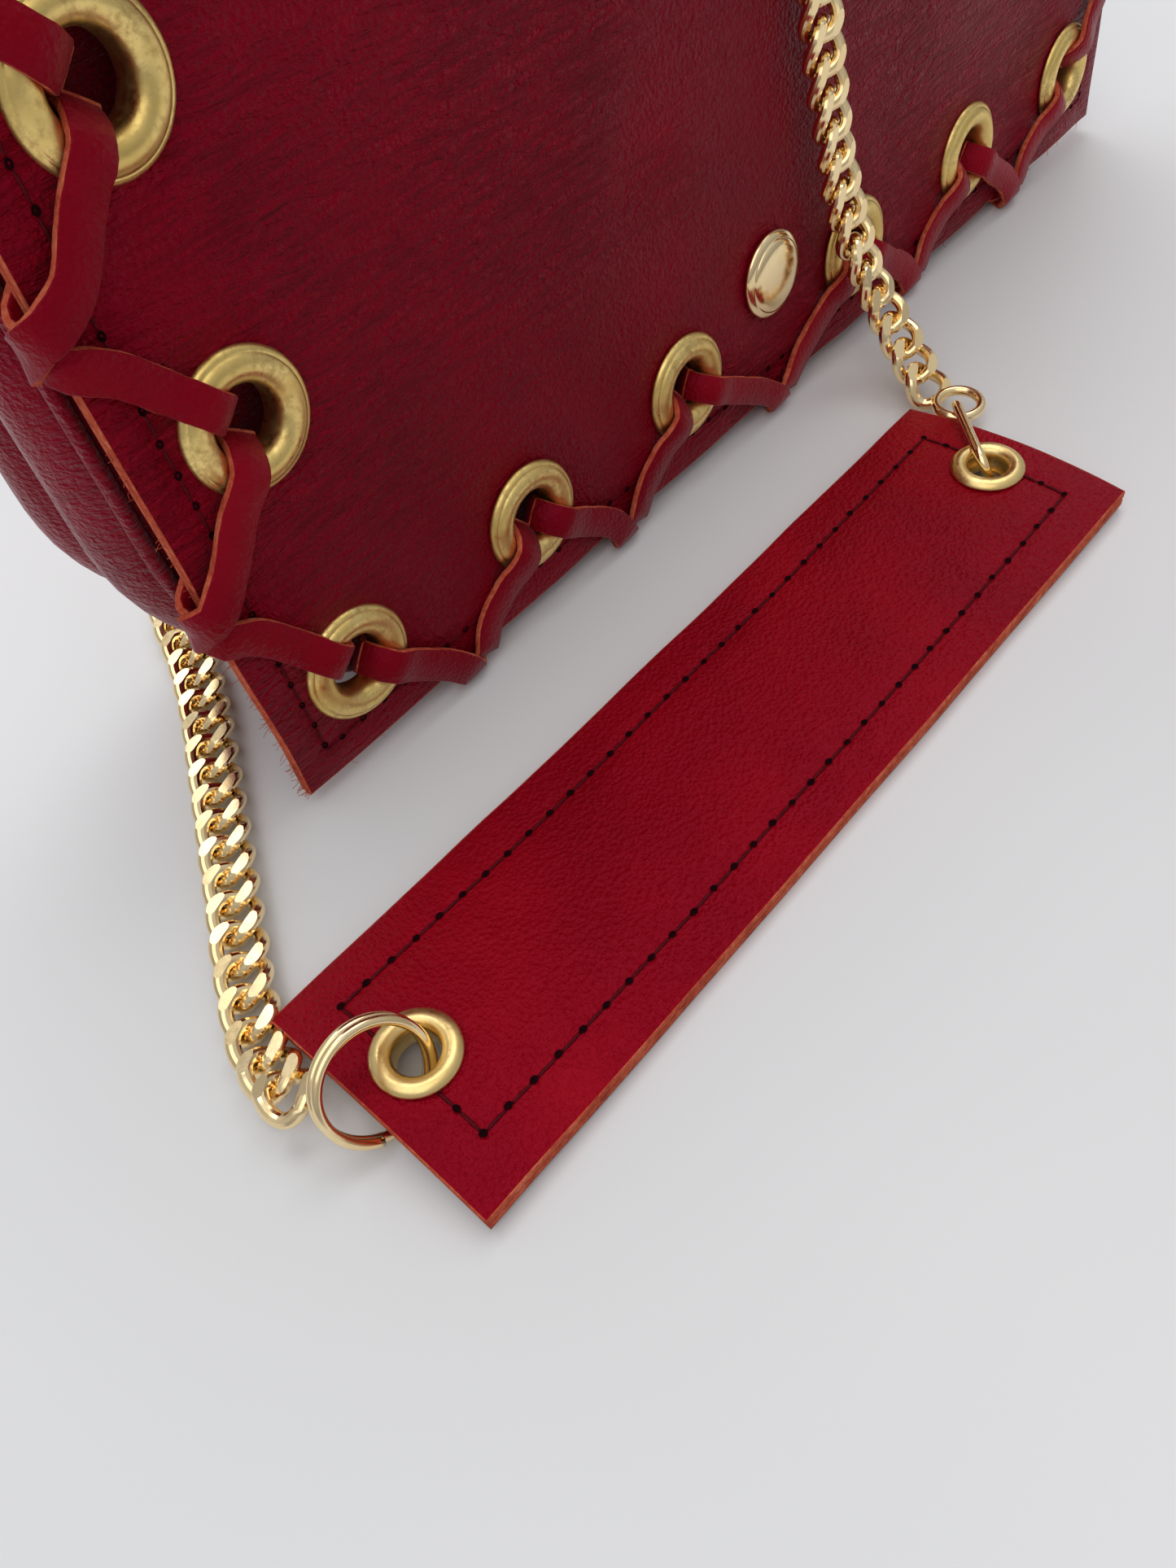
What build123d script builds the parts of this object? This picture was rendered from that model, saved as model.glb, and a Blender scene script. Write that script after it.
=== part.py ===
from build123d import *
from math import atan2, cos, degrees, hypot, pi, radians, sin, tan
import os

# A small flap shoulder bag of crimson leather, with a laced flap and a chain strap.
# X runs along the bag's width, -Y is the front, +Z is up, and the bag stands on Z = 0.

os.makedirs("parts", exist_ok=True)

# ---- Driving dimensions, in millimetres ----
LEATHER = 1.3             # one layer of leather
CLEAR = 0.1               # play between a fitting and its hole

FLAP_WIDTH = 265.0
FLAP_DROP = 158.0         # straight part of the flap, from its lower edge to the fold
FLAP_LEAN = 4.0           # degrees, the flap leans back toward the top
FLAP_FRONT_Y = -24.74     # front face of the flap at its lower edge
FLAP_EDGE_Z = 3.5         # the lacing wraps under the lower edge, so it stands clear of the ground
FOLD_RADIUS = 13.0        # outside of the soft fold over the top
FOLD_GAP = 1.0            # degrees of the fold left open each side of the hinge line
BAND_TAIL = 20.0          # how far the top band runs down the back

BODY_WIDTH = 265.0
BODY_HEIGHT = 156.0
BODY_CORNER = 55.0        # rounded lower corners, seen from the front
FRONT_TURN = 20.0         # soft turn from the front panel to the base
BACK_TURN = 14.0
BODY_WALL = 1.6
BACK_LEAN = 6.0           # degrees, the back leans forward toward the top
FLAP_GAP = 5.2            # room behind the flap for the lacing and the snap
PANEL_RIM = 4.0           # how far each panel's turned rim reaches round to the gusset
POUCH_GAP = 1.2
POUCH_WALL = 0.7
POUCH_DROP = 6.0          # the pouch's rim lies this far under the body's rim

EYELET_BORE = 5.0         # radii of the big eyelets
EYELET_BARREL = 5.7
EYELET_FLANGE = 10.3
EYELET_RISE = 2.2
WASHER_THICK = 0.8
BOTTOM_EYELETS = (28.0, 72.0, 114.5)      # distances from the centre line
SIDE_EYELETS = (63.5, 106.0, 148.0)       # heights above the flap's lower edge
BOTTOM_ROW = 17.0
LACE_WIDTH = 5.5
LACE_THICK = 1.5

SNAP_HEIGHT = 25.5        # above the flap's lower edge
SNAP_CAP = 8.3            # radii of the snap's pieces
SNAP_POST = 2.0
SOCKET_OUT = 5.5
SOCKET_BORE = 2.9
STUD_BALL = 2.2
STUD_POST = 1.5

PAD_LENGTH = 171.8
PAD_WIDTH = 46.0
PAD_CENTRE = (-78.0, -75.34)
PAD_NEAR_LIFT = 4.8       # the split ring passes under the near end, the oval link under the far end
PAD_FAR_LIFT = 3.0
PAD_EYELET_INSET = 10.0
PAD_BORE = 3.5
PAD_BARREL = 4.0
PAD_FLANGE = 7.0
PAD_RISE = 1.2
PAD_WASHER = 0.6
PAD_STITCH = 8.0          # stitch lines from the pad's edge
FLAP_STITCH = 6.0
THREAD = 0.8
THREAD_RISE = 0.3

CHAIN_TUBE = 5.8          # plain round tube that stands for the curb chain
SPLIT_CENTRE = (-160.6, -74.14, 8.8)
SPLIT_RADIUS = 8.75       # to the wire's middle
SPLIT_WIRE = 1.35         # diameters of the wires
SPLIT_HEADING = 0.0       # degrees, level line of the ring, through the pad's eyelet
SPLIT_TILT = 60.0         # degrees, its far side stands up by this much
OVAL_CENTRE = (4.9, -68.29, 4.55)
OVAL_LENGTH = 13.0        # straight part between the oval link's round ends
OVAL_RADIUS = 3.6
OVAL_WIRE = 1.9
OVAL_HEADING = 46.6
OVAL_TILT = 66.0
END_LINK_CENTRE = (13.7, -59.74, 4.55)
END_LINK_RADIUS = 4.4
END_LINK_WIRE = 2.0

TAB_X = 80.0              # ring tabs, left and right of the centre line
TAB_WIDTH = 14.0
TAB_LOW = 95.0            # heights along the back panel
TAB_STITCHED = 117.0
TAB_BAR = 124.0
BAR_STANDOFF = 2.9        # the ring bar's middle, off the back panel
TAB_LOOP = 1.5
D_RADIUS = 9.0
D_CORNER = 2.0
D_SIDE = 0.6
D_WIRE = 2.4
LEFT_SWING = 145.0        # degrees from pointing up the back: the left ring hangs, the right one stands
RIGHT_SWING = 20.0
END_RADIUS = 3.6          # chain end rings
END_WIRE = 0.8
END_OFFSET = 1.4          # from the D-ring's wire to the end ring's middle
RIVET_POST = 1.3
RIVET_CAP = 3.4
RIVET_ROWS = (101.0, 110.0)

# ---- Planes and points worked out from them ----
lean_tan, lean_sin, lean_cos = (f(radians(FLAP_LEAN)) for f in (tan, sin, cos))
back_tan, back_sin, back_cos = (f(radians(BACK_LEAN)) for f in (tan, sin, cos))
half_width = FLAP_WIDTH / 2
flap_thick = 2 * LEATHER
body_face = -flap_thick - FLAP_GAP        # the body's front face, in the flap's frame

# The flap's own frame: x along the width, y up the flap, z out of its front face.
flap_plane = Plane(origin=(0, FLAP_FRONT_Y, FLAP_EDGE_Z), x_dir=(1, 0, 0), z_dir=(0, -lean_cos, lean_sin))
fold_y = FLAP_FRONT_Y + FLAP_DROP * lean_sin + FOLD_RADIUS * lean_cos
fold_z = FLAP_EDGE_Z + FLAP_DROP * lean_cos - FOLD_RADIUS * lean_sin
ridge_z = fold_z + FOLD_RADIUS

# The body's outside lines where they meet the ground, and the back panel's own frame:
# x to the left as seen from behind, y up the back, z out of its face.
front_foot = FLAP_FRONT_Y - body_face / lean_cos - FLAP_EDGE_Z * lean_tan
back_foot = fold_y + (FOLD_RADIUS - flap_thick + fold_z * back_sin) / back_cos
back_plane = Plane(origin=(0, back_foot, 0), x_dir=(-1, 0, 0), z_dir=(0, back_cos, back_sin))
tail_height = back_plane.to_local_coords(Vector(0, fold_y, fold_z)).Y    # where the fold runs into the back

side_x = BOTTOM_EYELETS[-1]
eyelets = [(-side_x, h) for h in reversed(SIDE_EYELETS)]
eyelets += [(-x, BOTTOM_ROW) for x in reversed(BOTTOM_EYELETS)]
eyelets += [(x, BOTTOM_ROW) for x in BOTTOM_EYELETS]
eyelets += [(side_x, h) for h in SIDE_EYELETS]
tabs = (-TAB_X, TAB_X)
rivets = [(x, y) for x in tabs for y in RIVET_ROWS]


def keep(part, name):
    """Label a finished piece and write it as one STEP file."""
    part.label = name
    export_step(part, f"parts/{name}.step")


# ---- Body: front panel, back panel and gusset, cut from one soft open-topped shell ----
def body_form(inset, top):
    """The outside of the body, drawn in from its surface by inset and cut off at top."""
    front = front_foot + inset / lean_cos
    back = back_foot - inset / back_cos
    front_rim = (front + top * lean_tan, top)
    back_rim = (back - top * back_tan, top)
    with BuildPart() as form:
        with BuildSketch(Plane.YZ):
            with BuildLine():
                FilletPolyline(
                    front_rim,
                    (front + inset * lean_tan, inset),
                    (back - inset * back_tan, inset),
                    back_rim,
                    radius=[FRONT_TURN - inset, BACK_TURN - inset],
                )
                Line(back_rim, front_rim)
            make_face()
        extrude(amount=BODY_WIDTH, both=True)
        with BuildSketch(Plane.XZ):
            with Locations((0, (top + inset) / 2)):
                Rectangle(BODY_WIDTH - 2 * inset, top - inset)
            fillet(vertices().group_by(Axis.Y)[0], radius=BODY_CORNER - inset)
        extrude(amount=BODY_WIDTH, both=True, mode=Mode.INTERSECT)
    return form.part


def body_shell(inset, wall, top):
    """An open-topped wall of the body's form."""
    with BuildPart() as shell:
        add(body_form(inset, top))
        add(body_form(inset + wall, top + wall), mode=Mode.SUBTRACT)
    return shell.part


leather_shell = body_shell(0, BODY_WALL, BODY_HEIGHT)
front_cut = Plane(origin=(0, front_foot + PANEL_RIM / lean_cos, 0), z_dir=(0, -lean_cos, lean_sin))
back_cut = Plane(origin=(0, back_foot - PANEL_RIM / back_cos, 0), z_dir=(0, back_cos, back_sin))

with BuildPart() as body_front_panel:
    add(leather_shell)
    split(bisect_by=front_cut, keep=Keep.TOP)
    with Locations(flap_plane):
        with Locations((0, SNAP_HEIGHT, body_face)):
            Cylinder(STUD_POST + CLEAR, 4 * BODY_WALL, mode=Mode.SUBTRACT)
keep(body_front_panel.part, "body_front_panel")

with BuildPart() as body_back_panel:
    add(leather_shell)
    split(bisect_by=back_cut, keep=Keep.TOP)
    with Locations(back_plane):
        with Locations(*rivets):
            Cylinder(RIVET_POST + CLEAR, 4 * BODY_WALL, mode=Mode.SUBTRACT)
keep(body_back_panel.part, "body_back_panel")

with BuildPart() as body_gusset:
    add(leather_shell)
    split(bisect_by=front_cut, keep=Keep.BOTTOM)
    split(bisect_by=back_cut, keep=Keep.BOTTOM)
keep(body_gusset.part, "body_gusset")

keep(body_shell(BODY_WALL + POUCH_GAP, POUCH_WALL, BODY_HEIGHT - POUCH_DROP), "lining_pouch")


# ---- Flap: two layers, and the top band that carries them over the fold to the back ----
def fold_face(near, far, start, end):
    """Side view of a stretch of the fold, between two depths and two angles measured up from +Y."""
    with BuildSketch(Plane.YZ.offset(-half_width)) as face:
        with BuildLine():
            outer = CenterArc((fold_y, fold_z), FOLD_RADIUS - near, start, end - start)
            inner = CenterArc((fold_y, fold_z), FOLD_RADIUS - far, start, end - start)
            Line(outer @ 0, inner @ 0)
            Line(outer @ 1, inner @ 1)
        make_face()
    return face.sketch


def flap_layer(near, far):
    """One moving layer of the flap: the straight drop and its half of the fold."""
    with BuildPart() as layer:
        with BuildSketch(flap_plane.offset(-near)):
            with Locations((0, FLAP_DROP / 2)):
                Rectangle(FLAP_WIDTH, FLAP_DROP)
            with Locations(*eyelets):
                Circle(EYELET_BARREL + CLEAR, mode=Mode.SUBTRACT)
            with Locations((0, SNAP_HEIGHT)):
                Circle(SNAP_POST + CLEAR, mode=Mode.SUBTRACT)
        extrude(amount=near - far)
        extrude(fold_face(near, far, 90 + FOLD_GAP, 180 - FLAP_LEAN), amount=FLAP_WIDTH)
    return layer.part


def band_layer(near, far):
    """One fixed layer of the top band: its half of the fold and the tail down the back."""
    with BuildPart() as layer:
        extrude(fold_face(near, far, BACK_LEAN, 90 - FOLD_GAP), amount=FLAP_WIDTH)
        with BuildSketch(back_plane.offset(flap_thick - far)):
            with Locations((0, tail_height - BAND_TAIL / 2)):
                Rectangle(FLAP_WIDTH, BAND_TAIL)
        extrude(amount=far - near)
    return layer.part


for name, near, far in (("outer", 0, LEATHER), ("lining", LEATHER, flap_thick)):
    keep(flap_layer(near, far), f"flap_{name}")
    keep(band_layer(near, far), f"top_band_{name}")


# ---- Sewing: one run of thread round the flap, one round the pad ----
with BuildPart() as flap_thread:
    with BuildSketch(flap_plane):
        for inset, mode in ((FLAP_STITCH, Mode.ADD), (FLAP_STITCH + THREAD, Mode.SUBTRACT)):
            with Locations((0, (FLAP_DROP + inset) / 2)):
                Rectangle(FLAP_WIDTH - 2 * inset, FLAP_DROP - inset, mode=mode)
        with Locations(*eyelets):
            Circle(EYELET_FLANGE + CLEAR, mode=Mode.SUBTRACT)
    extrude(amount=THREAD_RISE)
keep(flap_thread.part, "flap_thread")


# ---- Eyelets: a rolled flange with its barrel in front, a washer behind ----
def eyelet_front(bore, barrel, flange, rise, depth):
    """A turned flange on z = 0, with its barrel reaching down to z = -depth."""
    with BuildPart() as turned:
        with BuildSketch(Plane.XZ):
            with BuildLine():
                crown = ThreePointArc((bore, 0), ((bore + flange) / 2, rise), (flange, 0))
                Polyline(crown @ 1, (barrel, 0), (barrel, -depth), (bore, -depth), crown @ 0)
            make_face()
        revolve(axis=Axis.Z)
    return turned.part


def ring_disc(inner, outer, thick):
    """A flat ring standing on z = 0."""
    with BuildPart() as disc:
        with BuildSketch():
            Circle(outer)
            Circle(inner, mode=Mode.SUBTRACT)
        extrude(amount=thick)
    return disc.part


flange_form = eyelet_front(EYELET_BORE, EYELET_BARREL, EYELET_FLANGE, EYELET_RISE, flap_thick + WASHER_THICK)
with BuildPart() as flap_eyelets:
    with Locations(flap_plane):
        with Locations(*eyelets):
            add(flange_form)
keep(flap_eyelets.part, "flap_eyelets")

washer_form = ring_disc(EYELET_BARREL + CLEAR / 2, EYELET_FLANGE - 1, WASHER_THICK)
with BuildPart() as flap_washers:
    with Locations(flap_plane.offset(-flap_thick - WASHER_THICK)):
        with Locations(*eyelets):
            add(washer_form)
keep(flap_washers.part, "flap_washers")


# ---- Lacing: one thong that whips over the edge both ways between neighbouring eyelets ----
def edge_point(first, second):
    """The place on the flap's edge halfway between two neighbouring eyelets, and its outward way."""
    (x1, y1), (x2, y2) = first, second
    if y1 == y2:
        return Vector((x1 + x2) / 2, 0), Vector(0, -1)
    side = 1 if x1 > 0 else -1
    return Vector(side * half_width, (y1 + y2) / 2), Vector(side, 0)


def strap(start, end):
    """A flat strap between two points of the working plane."""
    run = end - start
    turn = Location((0, 0, 0), (0, 0, degrees(atan2(run.Y, run.X))))
    climb = Location((0, 0, 0), (0, -degrees(atan2(run.Z, hypot(run.X, run.Y))), 0))
    with Locations(Location((start + end) / 2) * turn * climb):
        Box(run.length, LACE_WIDTH, LACE_THICK)


lace_over = EYELET_RISE + LACE_THICK / 2 + CLEAR
lace_under = -flap_thick - WASHER_THICK - LACE_THICK / 2 - CLEAR
lace_back = -flap_thick - LACE_THICK / 2
plug_top, plug_foot = lace_over + LACE_THICK / 2, lace_under - LACE_THICK / 2
with BuildPart() as edge_lacing:
    with Locations(flap_plane):
        for first, second in zip(eyelets, eyelets[1:]):
            middle, outward = edge_point(first, second)
            outside = middle + outward * (LACE_THICK / 2 + CLEAR)
            for x, y in (first, second):
                strap(Vector(x, y, lace_over), outside + Vector(0, 0, LACE_THICK / 2))
                strap(Vector(x, y, lace_under), outside + Vector(0, 0, lace_back))
            wrap = (LACE_THICK, LACE_WIDTH) if outward.X else (LACE_WIDTH, LACE_THICK)
            with Locations(outside + Vector(0, 0, (LACE_THICK / 2 + lace_back) / 2)):
                Box(*wrap, LACE_THICK - lace_back)
        with Locations(*(Vector(x, y, (plug_top + plug_foot) / 2) for x, y in eyelets)):
            Cylinder(EYELET_BORE - CLEAR, plug_top - plug_foot)
    add(flap_eyelets.part, mode=Mode.SUBTRACT)
    add(flap_washers.part, mode=Mode.SUBTRACT)
keep(edge_lacing.part, "edge_lacing")

# ---- Snap: domed cap and socket on the flap, stud and its back cap on the body ----
SOCKET_THICK = 2.6
STUD_BASE = 0.8
snap_plane = Plane(flap_plane.from_local_coords(Vector(0, SNAP_HEIGHT, 0)), x_dir=(1, 0, 0), z_dir=flap_plane.z_dir)
with BuildPart(snap_plane) as snap_cap:
    Cylinder(SNAP_CAP, 0.8, align=(Align.CENTER, Align.CENTER, Align.MIN))
    with Locations((0, 0, 0.8)):
        Cone(SNAP_CAP, SNAP_CAP - 3, 1.6, align=(Align.CENTER, Align.CENTER, Align.MIN))
    with Locations((0, 0, -flap_thick - SOCKET_THICK / 2)):
        Cylinder(SNAP_POST, flap_thick + SOCKET_THICK / 2, align=(Align.CENTER, Align.CENTER, Align.MIN))
keep(snap_cap.part, "snap_cap")

with BuildPart(snap_plane.offset(-flap_thick - SOCKET_THICK)) as snap_socket:
    Cylinder(SOCKET_OUT, SOCKET_THICK, align=(Align.CENTER, Align.CENTER, Align.MIN))
    Cylinder(SOCKET_BORE, SOCKET_THICK, align=(Align.CENTER, Align.CENTER, Align.MIN), mode=Mode.SUBTRACT)
keep(snap_socket.part, "snap_socket")

with BuildPart(snap_plane.offset(body_face)) as snap_stud:
    Cylinder(SOCKET_OUT, STUD_BASE, align=(Align.CENTER, Align.CENTER, Align.MIN))
    Cylinder(STUD_BALL, STUD_BASE + 2.4, align=(Align.CENTER, Align.CENTER, Align.MIN))
    with Locations((0, 0, -BODY_WALL)):
        Cylinder(STUD_POST, BODY_WALL, align=(Align.CENTER, Align.CENTER, Align.MIN))
keep(snap_stud.part, "snap_stud")

with BuildPart(snap_plane.offset(body_face - BODY_WALL)) as snap_stud_washer:
    Cylinder(SOCKET_OUT, 0.8, align=(Align.CENTER, Align.CENTER, Align.MAX))
keep(snap_stud_washer.part, "snap_stud_washer")

# ---- Ring tabs on the back: folded leather, rivets, D-rings ----
with BuildPart() as ring_tabs:
    for x in tabs:
        with BuildSketch(Plane(back_plane.from_local_coords(Vector(x - TAB_WIDTH / 2, 0, 0)),
                               x_dir=back_plane.y_dir, z_dir=back_plane.x_dir)):
            Polygon((TAB_LOW, 0), (TAB_STITCHED, 0), (TAB_STITCHED, flap_thick), (TAB_LOW, flap_thick), align=None)
            Polygon((TAB_STITCHED, 0), (TAB_BAR, BAR_STANDOFF - TAB_LOOP - LEATHER),
                    (TAB_BAR, BAR_STANDOFF + TAB_LOOP + LEATHER), (TAB_STITCHED, flap_thick), align=None)
            with Locations((TAB_BAR, BAR_STANDOFF)):
                Circle(TAB_LOOP + LEATHER)
                Circle(TAB_LOOP, mode=Mode.SUBTRACT)
        extrude(amount=TAB_WIDTH)
    with Locations(back_plane):
        with Locations(*rivets):
            Cylinder(RIVET_POST + CLEAR, 8 * LEATHER, mode=Mode.SUBTRACT)
keep(ring_tabs.part, "ring_tabs")

with BuildPart() as tab_rivets:
    for x, y in rivets:
        with Locations(back_plane):
            with Locations((x, y, flap_thick)):
                Cone(RIVET_CAP, RIVET_CAP - 1.4, 1.1, align=(Align.CENTER, Align.CENTER, Align.MIN))
            with Locations((x, y, -BODY_WALL)):
                Cylinder(RIVET_POST, BODY_WALL + flap_thick, align=(Align.CENTER, Align.CENTER, Align.MIN))
                Cylinder(RIVET_CAP, 0.7, align=(Align.CENTER, Align.CENTER, Align.MAX))
keep(tab_rivets.part, "tab_rivets")


def place(form, plane, name):
    """Stand a form made at the origin in a plane, and keep it."""
    keep(Part(plane.location * form), name)


def wire_loop(corners, radii, wire):
    """Round wire bent to a closed loop in the XY plane."""
    with BuildPart() as loop:
        with BuildLine():
            path = FilletPolyline(*corners, radius=radii, close=True)
        with BuildSketch(Plane(path @ 0, z_dir=path % 0)):
            Circle(wire / 2)
        sweep()
    return loop.part


with BuildPart() as d_loop:
    with BuildLine() as d_path:
        bar = Line((-D_RADIUS + D_CORNER, 0), (D_RADIUS - D_CORNER, 0))
        near_bend = JernArc(bar @ 1, bar % 1, D_CORNER, 90)
        near_side = Line(near_bend @ 1, (near_bend @ 1) + Vector(0, D_SIDE, 0))
        bow = JernArc(near_side @ 1, near_side % 1, D_RADIUS, 180)
        far_side = Line(bow @ 1, (bow @ 1) - Vector(0, D_SIDE, 0))
        JernArc(far_side @ 1, far_side % 1, D_CORNER, 90)
    with BuildSketch(Plane((0, 0, 0), z_dir=(1, 0, 0))):
        Circle(D_WIRE / 2)
    sweep(path=d_path.wires()[0])
d_form = d_loop.part


def ring_plane(side, swing):
    """The plane of a ring hung on a tab's bar line: x along the bar, y the way it points.
    Swing 0 points up along the back."""
    bar = back_plane.from_local_coords(Vector(side * TAB_X, TAB_BAR, BAR_STANDOFF))
    up = back_plane.y_dir.rotate(Axis.X, -swing)
    return Plane(bar, x_dir=(1, 0, 0), z_dir=Vector(1, 0, 0).cross(up))


with BuildPart() as end_ring_form:
    with BuildSketch(Plane.XY):
        with Locations((END_RADIUS, 0)):
            Circle(END_WIRE)
    revolve(axis=Axis.Y)

for name, side, swing in (("left", 1, LEFT_SWING), ("right", -1, RIGHT_SWING)):
    plane = ring_plane(side, swing)
    place(d_form, plane, f"d_ring_{name}")
    link_centre = plane.from_local_coords(Vector(0, D_RADIUS + END_OFFSET, 0))
    place(end_ring_form.part, Plane(link_centre, x_dir=plane.y_dir, z_dir=plane.z_dir), f"chain_end_ring_{name}")

# ---- Strap pad: two layers sewn together, an eyelet in each end ----
pad_tilt = atan2(PAD_NEAR_LIFT - PAD_FAR_LIFT, PAD_LENGTH)
pad_plane = Plane(
    origin=(*PAD_CENTRE, (PAD_NEAR_LIFT + PAD_FAR_LIFT) / 2),
    x_dir=(cos(pad_tilt), 0, -sin(pad_tilt)),
    z_dir=(sin(pad_tilt), 0, cos(pad_tilt)),
)
pad_eyelet_x = PAD_LENGTH / 2 - PAD_EYELET_INSET
pad_holes = [(-pad_eyelet_x, 0), (pad_eyelet_x, 0)]
for level, name in enumerate(("pad_bottom", "pad_top")):
    with BuildPart() as pad_layer:
        with BuildSketch(pad_plane.offset(level * LEATHER)):
            Rectangle(PAD_LENGTH, PAD_WIDTH)
            with Locations(*pad_holes):
                Circle(PAD_BARREL + CLEAR / 2, mode=Mode.SUBTRACT)
        extrude(amount=LEATHER)
    keep(pad_layer.part, name)

with BuildPart() as pad_thread:
    with BuildSketch(pad_plane.offset(flap_thick)):
        Rectangle(PAD_LENGTH - 2 * PAD_STITCH, PAD_WIDTH - 2 * PAD_STITCH)
        line = PAD_STITCH + THREAD
        Rectangle(PAD_LENGTH - 2 * line, PAD_WIDTH - 2 * line, mode=Mode.SUBTRACT)
        with Locations(*pad_holes):
            Circle(PAD_FLANGE + CLEAR, mode=Mode.SUBTRACT)
    extrude(amount=THREAD_RISE)
keep(pad_thread.part, "pad_thread")

pad_flange_form = eyelet_front(PAD_BORE, PAD_BARREL, PAD_FLANGE, PAD_RISE, flap_thick + PAD_WASHER)
with BuildPart() as pad_eyelets:
    with Locations(pad_plane.offset(flap_thick)):
        with Locations(*pad_holes):
            add(pad_flange_form)
keep(pad_eyelets.part, "pad_eyelets")

pad_washer_form = ring_disc(PAD_BARREL + CLEAR / 2, PAD_FLANGE - 0.5, PAD_WASHER)
with BuildPart() as pad_washers:
    with Locations(pad_plane.offset(-PAD_WASHER)):
        with Locations(*pad_holes):
            add(pad_washer_form)
keep(pad_washers.part, "pad_washers")

# ---- Rings that join the chain to the pad ----
split_line = Vector(cos(radians(SPLIT_HEADING)), sin(radians(SPLIT_HEADING)), 0)
split_rise = split_line.cross(Vector(0, 0, -1)).rotate(Axis((0, 0, 0), split_line), SPLIT_TILT)
with BuildPart() as split_ring:
    plane = Plane(SPLIT_CENTRE, x_dir=split_line, z_dir=split_line.cross(split_rise))
    for level in (-0.47, 0.47):
        with BuildSketch(Plane(plane.offset(level * SPLIT_WIRE).origin, x_dir=split_line, z_dir=split_rise)):
            with Locations((SPLIT_RADIUS, 0)):
                Circle(SPLIT_WIRE / 2)
        revolve(axis=Axis(plane.origin, plane.z_dir))
keep(split_ring.part, "split_ring")

oval_way = Vector(cos(radians(OVAL_HEADING)), sin(radians(OVAL_HEADING)), 0)
oval_side = oval_way.cross(Vector(0, 0, -1)).rotate(Axis((0, 0, 0), oval_way), OVAL_TILT)
oval_plane = Plane(OVAL_CENTRE, x_dir=oval_way, z_dir=oval_way.cross(oval_side))
reach = OVAL_LENGTH / 2 + OVAL_RADIUS
oval_form = wire_loop(
    ((-reach, -OVAL_RADIUS), (reach, -OVAL_RADIUS), (reach, OVAL_RADIUS), (-reach, OVAL_RADIUS)),
    [OVAL_RADIUS - 0.01] * 4,
    OVAL_WIRE,
)
place(oval_form, oval_plane, "oval_link")

with BuildPart() as strap_end_link:
    with BuildSketch(Plane(END_LINK_CENTRE, x_dir=(1, 0, 0), z_dir=(0, -1, 0))):
        with Locations((END_LINK_RADIUS, 0)):
            Circle(END_LINK_WIRE / 2)
    revolve(axis=Axis(END_LINK_CENTRE, (0, 0, 1)))
keep(strap_end_link.part, "strap_end_link")


# ---- Chains: plain round tubes along each chain's route ----
RIGHT_ROUTE = (
    (80.0, 20.26, 138.9), (73.0, 22.76, 149.0), (61.0, 22.76, 161.0), (47.0, 18.26, 172.5), (33.0, 7.26, 181.5),
    (21.0, -7.74, 182.0), (13.5, -18.74, 170.5), (10.5, -19.74, 146.0), (10.2, -21.24, 112.0), (11.0, -23.74, 79.0),
    (13.3, -26.24, 54.0), (17.0, -29.74, 30.0), (20.5, -40.24, 10.0), (14.6, -53.34, 3.4),
)
LEFT_ROUTE = (
    (-80.0, 27.16, 111.2), (-80.5, 29.16, 98.0), (-79.5, 30.26, 75.0), (-80.5, 31.76, 51.0), (-82.0, 34.26, 29.0),
    (-85.0, 41.96, 13.0), (-96.0, 47.5, 4.0), (-110.0, 46.0, 3.1), (-119.5, 36.0, 3.2), (-124.5, 22.0, 3.0),
    (-131.0, 8.5, 3.1), (-138.5, -4.0, 3.2), (-146.5, -17.24, 3.0), (-154.8, -31.24, 3.2),
    (-163.0, -44.24, 3.0), (-169.3, -56.74, 3.4), (-169.6, -67.24, 7.4),
)


def corner_radii(route):
    """Each corner's radius: as large as its two runs allow."""
    radii = []
    for before, corner, after in zip(route, route[1:], route[2:]):
        one, two = Vector(corner) - Vector(before), Vector(after) - Vector(corner)
        half_turn = radians(one.get_angle(two)) / 2
        radii.append(0.45 * min(one.length, two.length) / tan(half_turn))
    return radii


for name, route in (("chain_left", LEFT_ROUTE), ("chain_right", RIGHT_ROUTE)):
    radii = corner_radii(route)
    with BuildPart() as chain:
        with BuildLine():
            path = FilletPolyline(*route, radius=radii)
        with BuildSketch(Plane(path @ 0, z_dir=path % 0)):
            Circle(CHAIN_TUBE / 2)
        sweep()
    keep(chain.part, name)
    section = pi * CHAIN_TUBE**2 / 4
    print(name, f"length {path.length:.1f}", f"volume ratio {chain.part.volume / (section * path.length):.4f}")
    print("  radii", [round(r, 1) for r in radii])
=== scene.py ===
import math
import random

import bmesh
import bpy
import numpy as np
from mathutils import Matrix, Vector, noise


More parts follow.
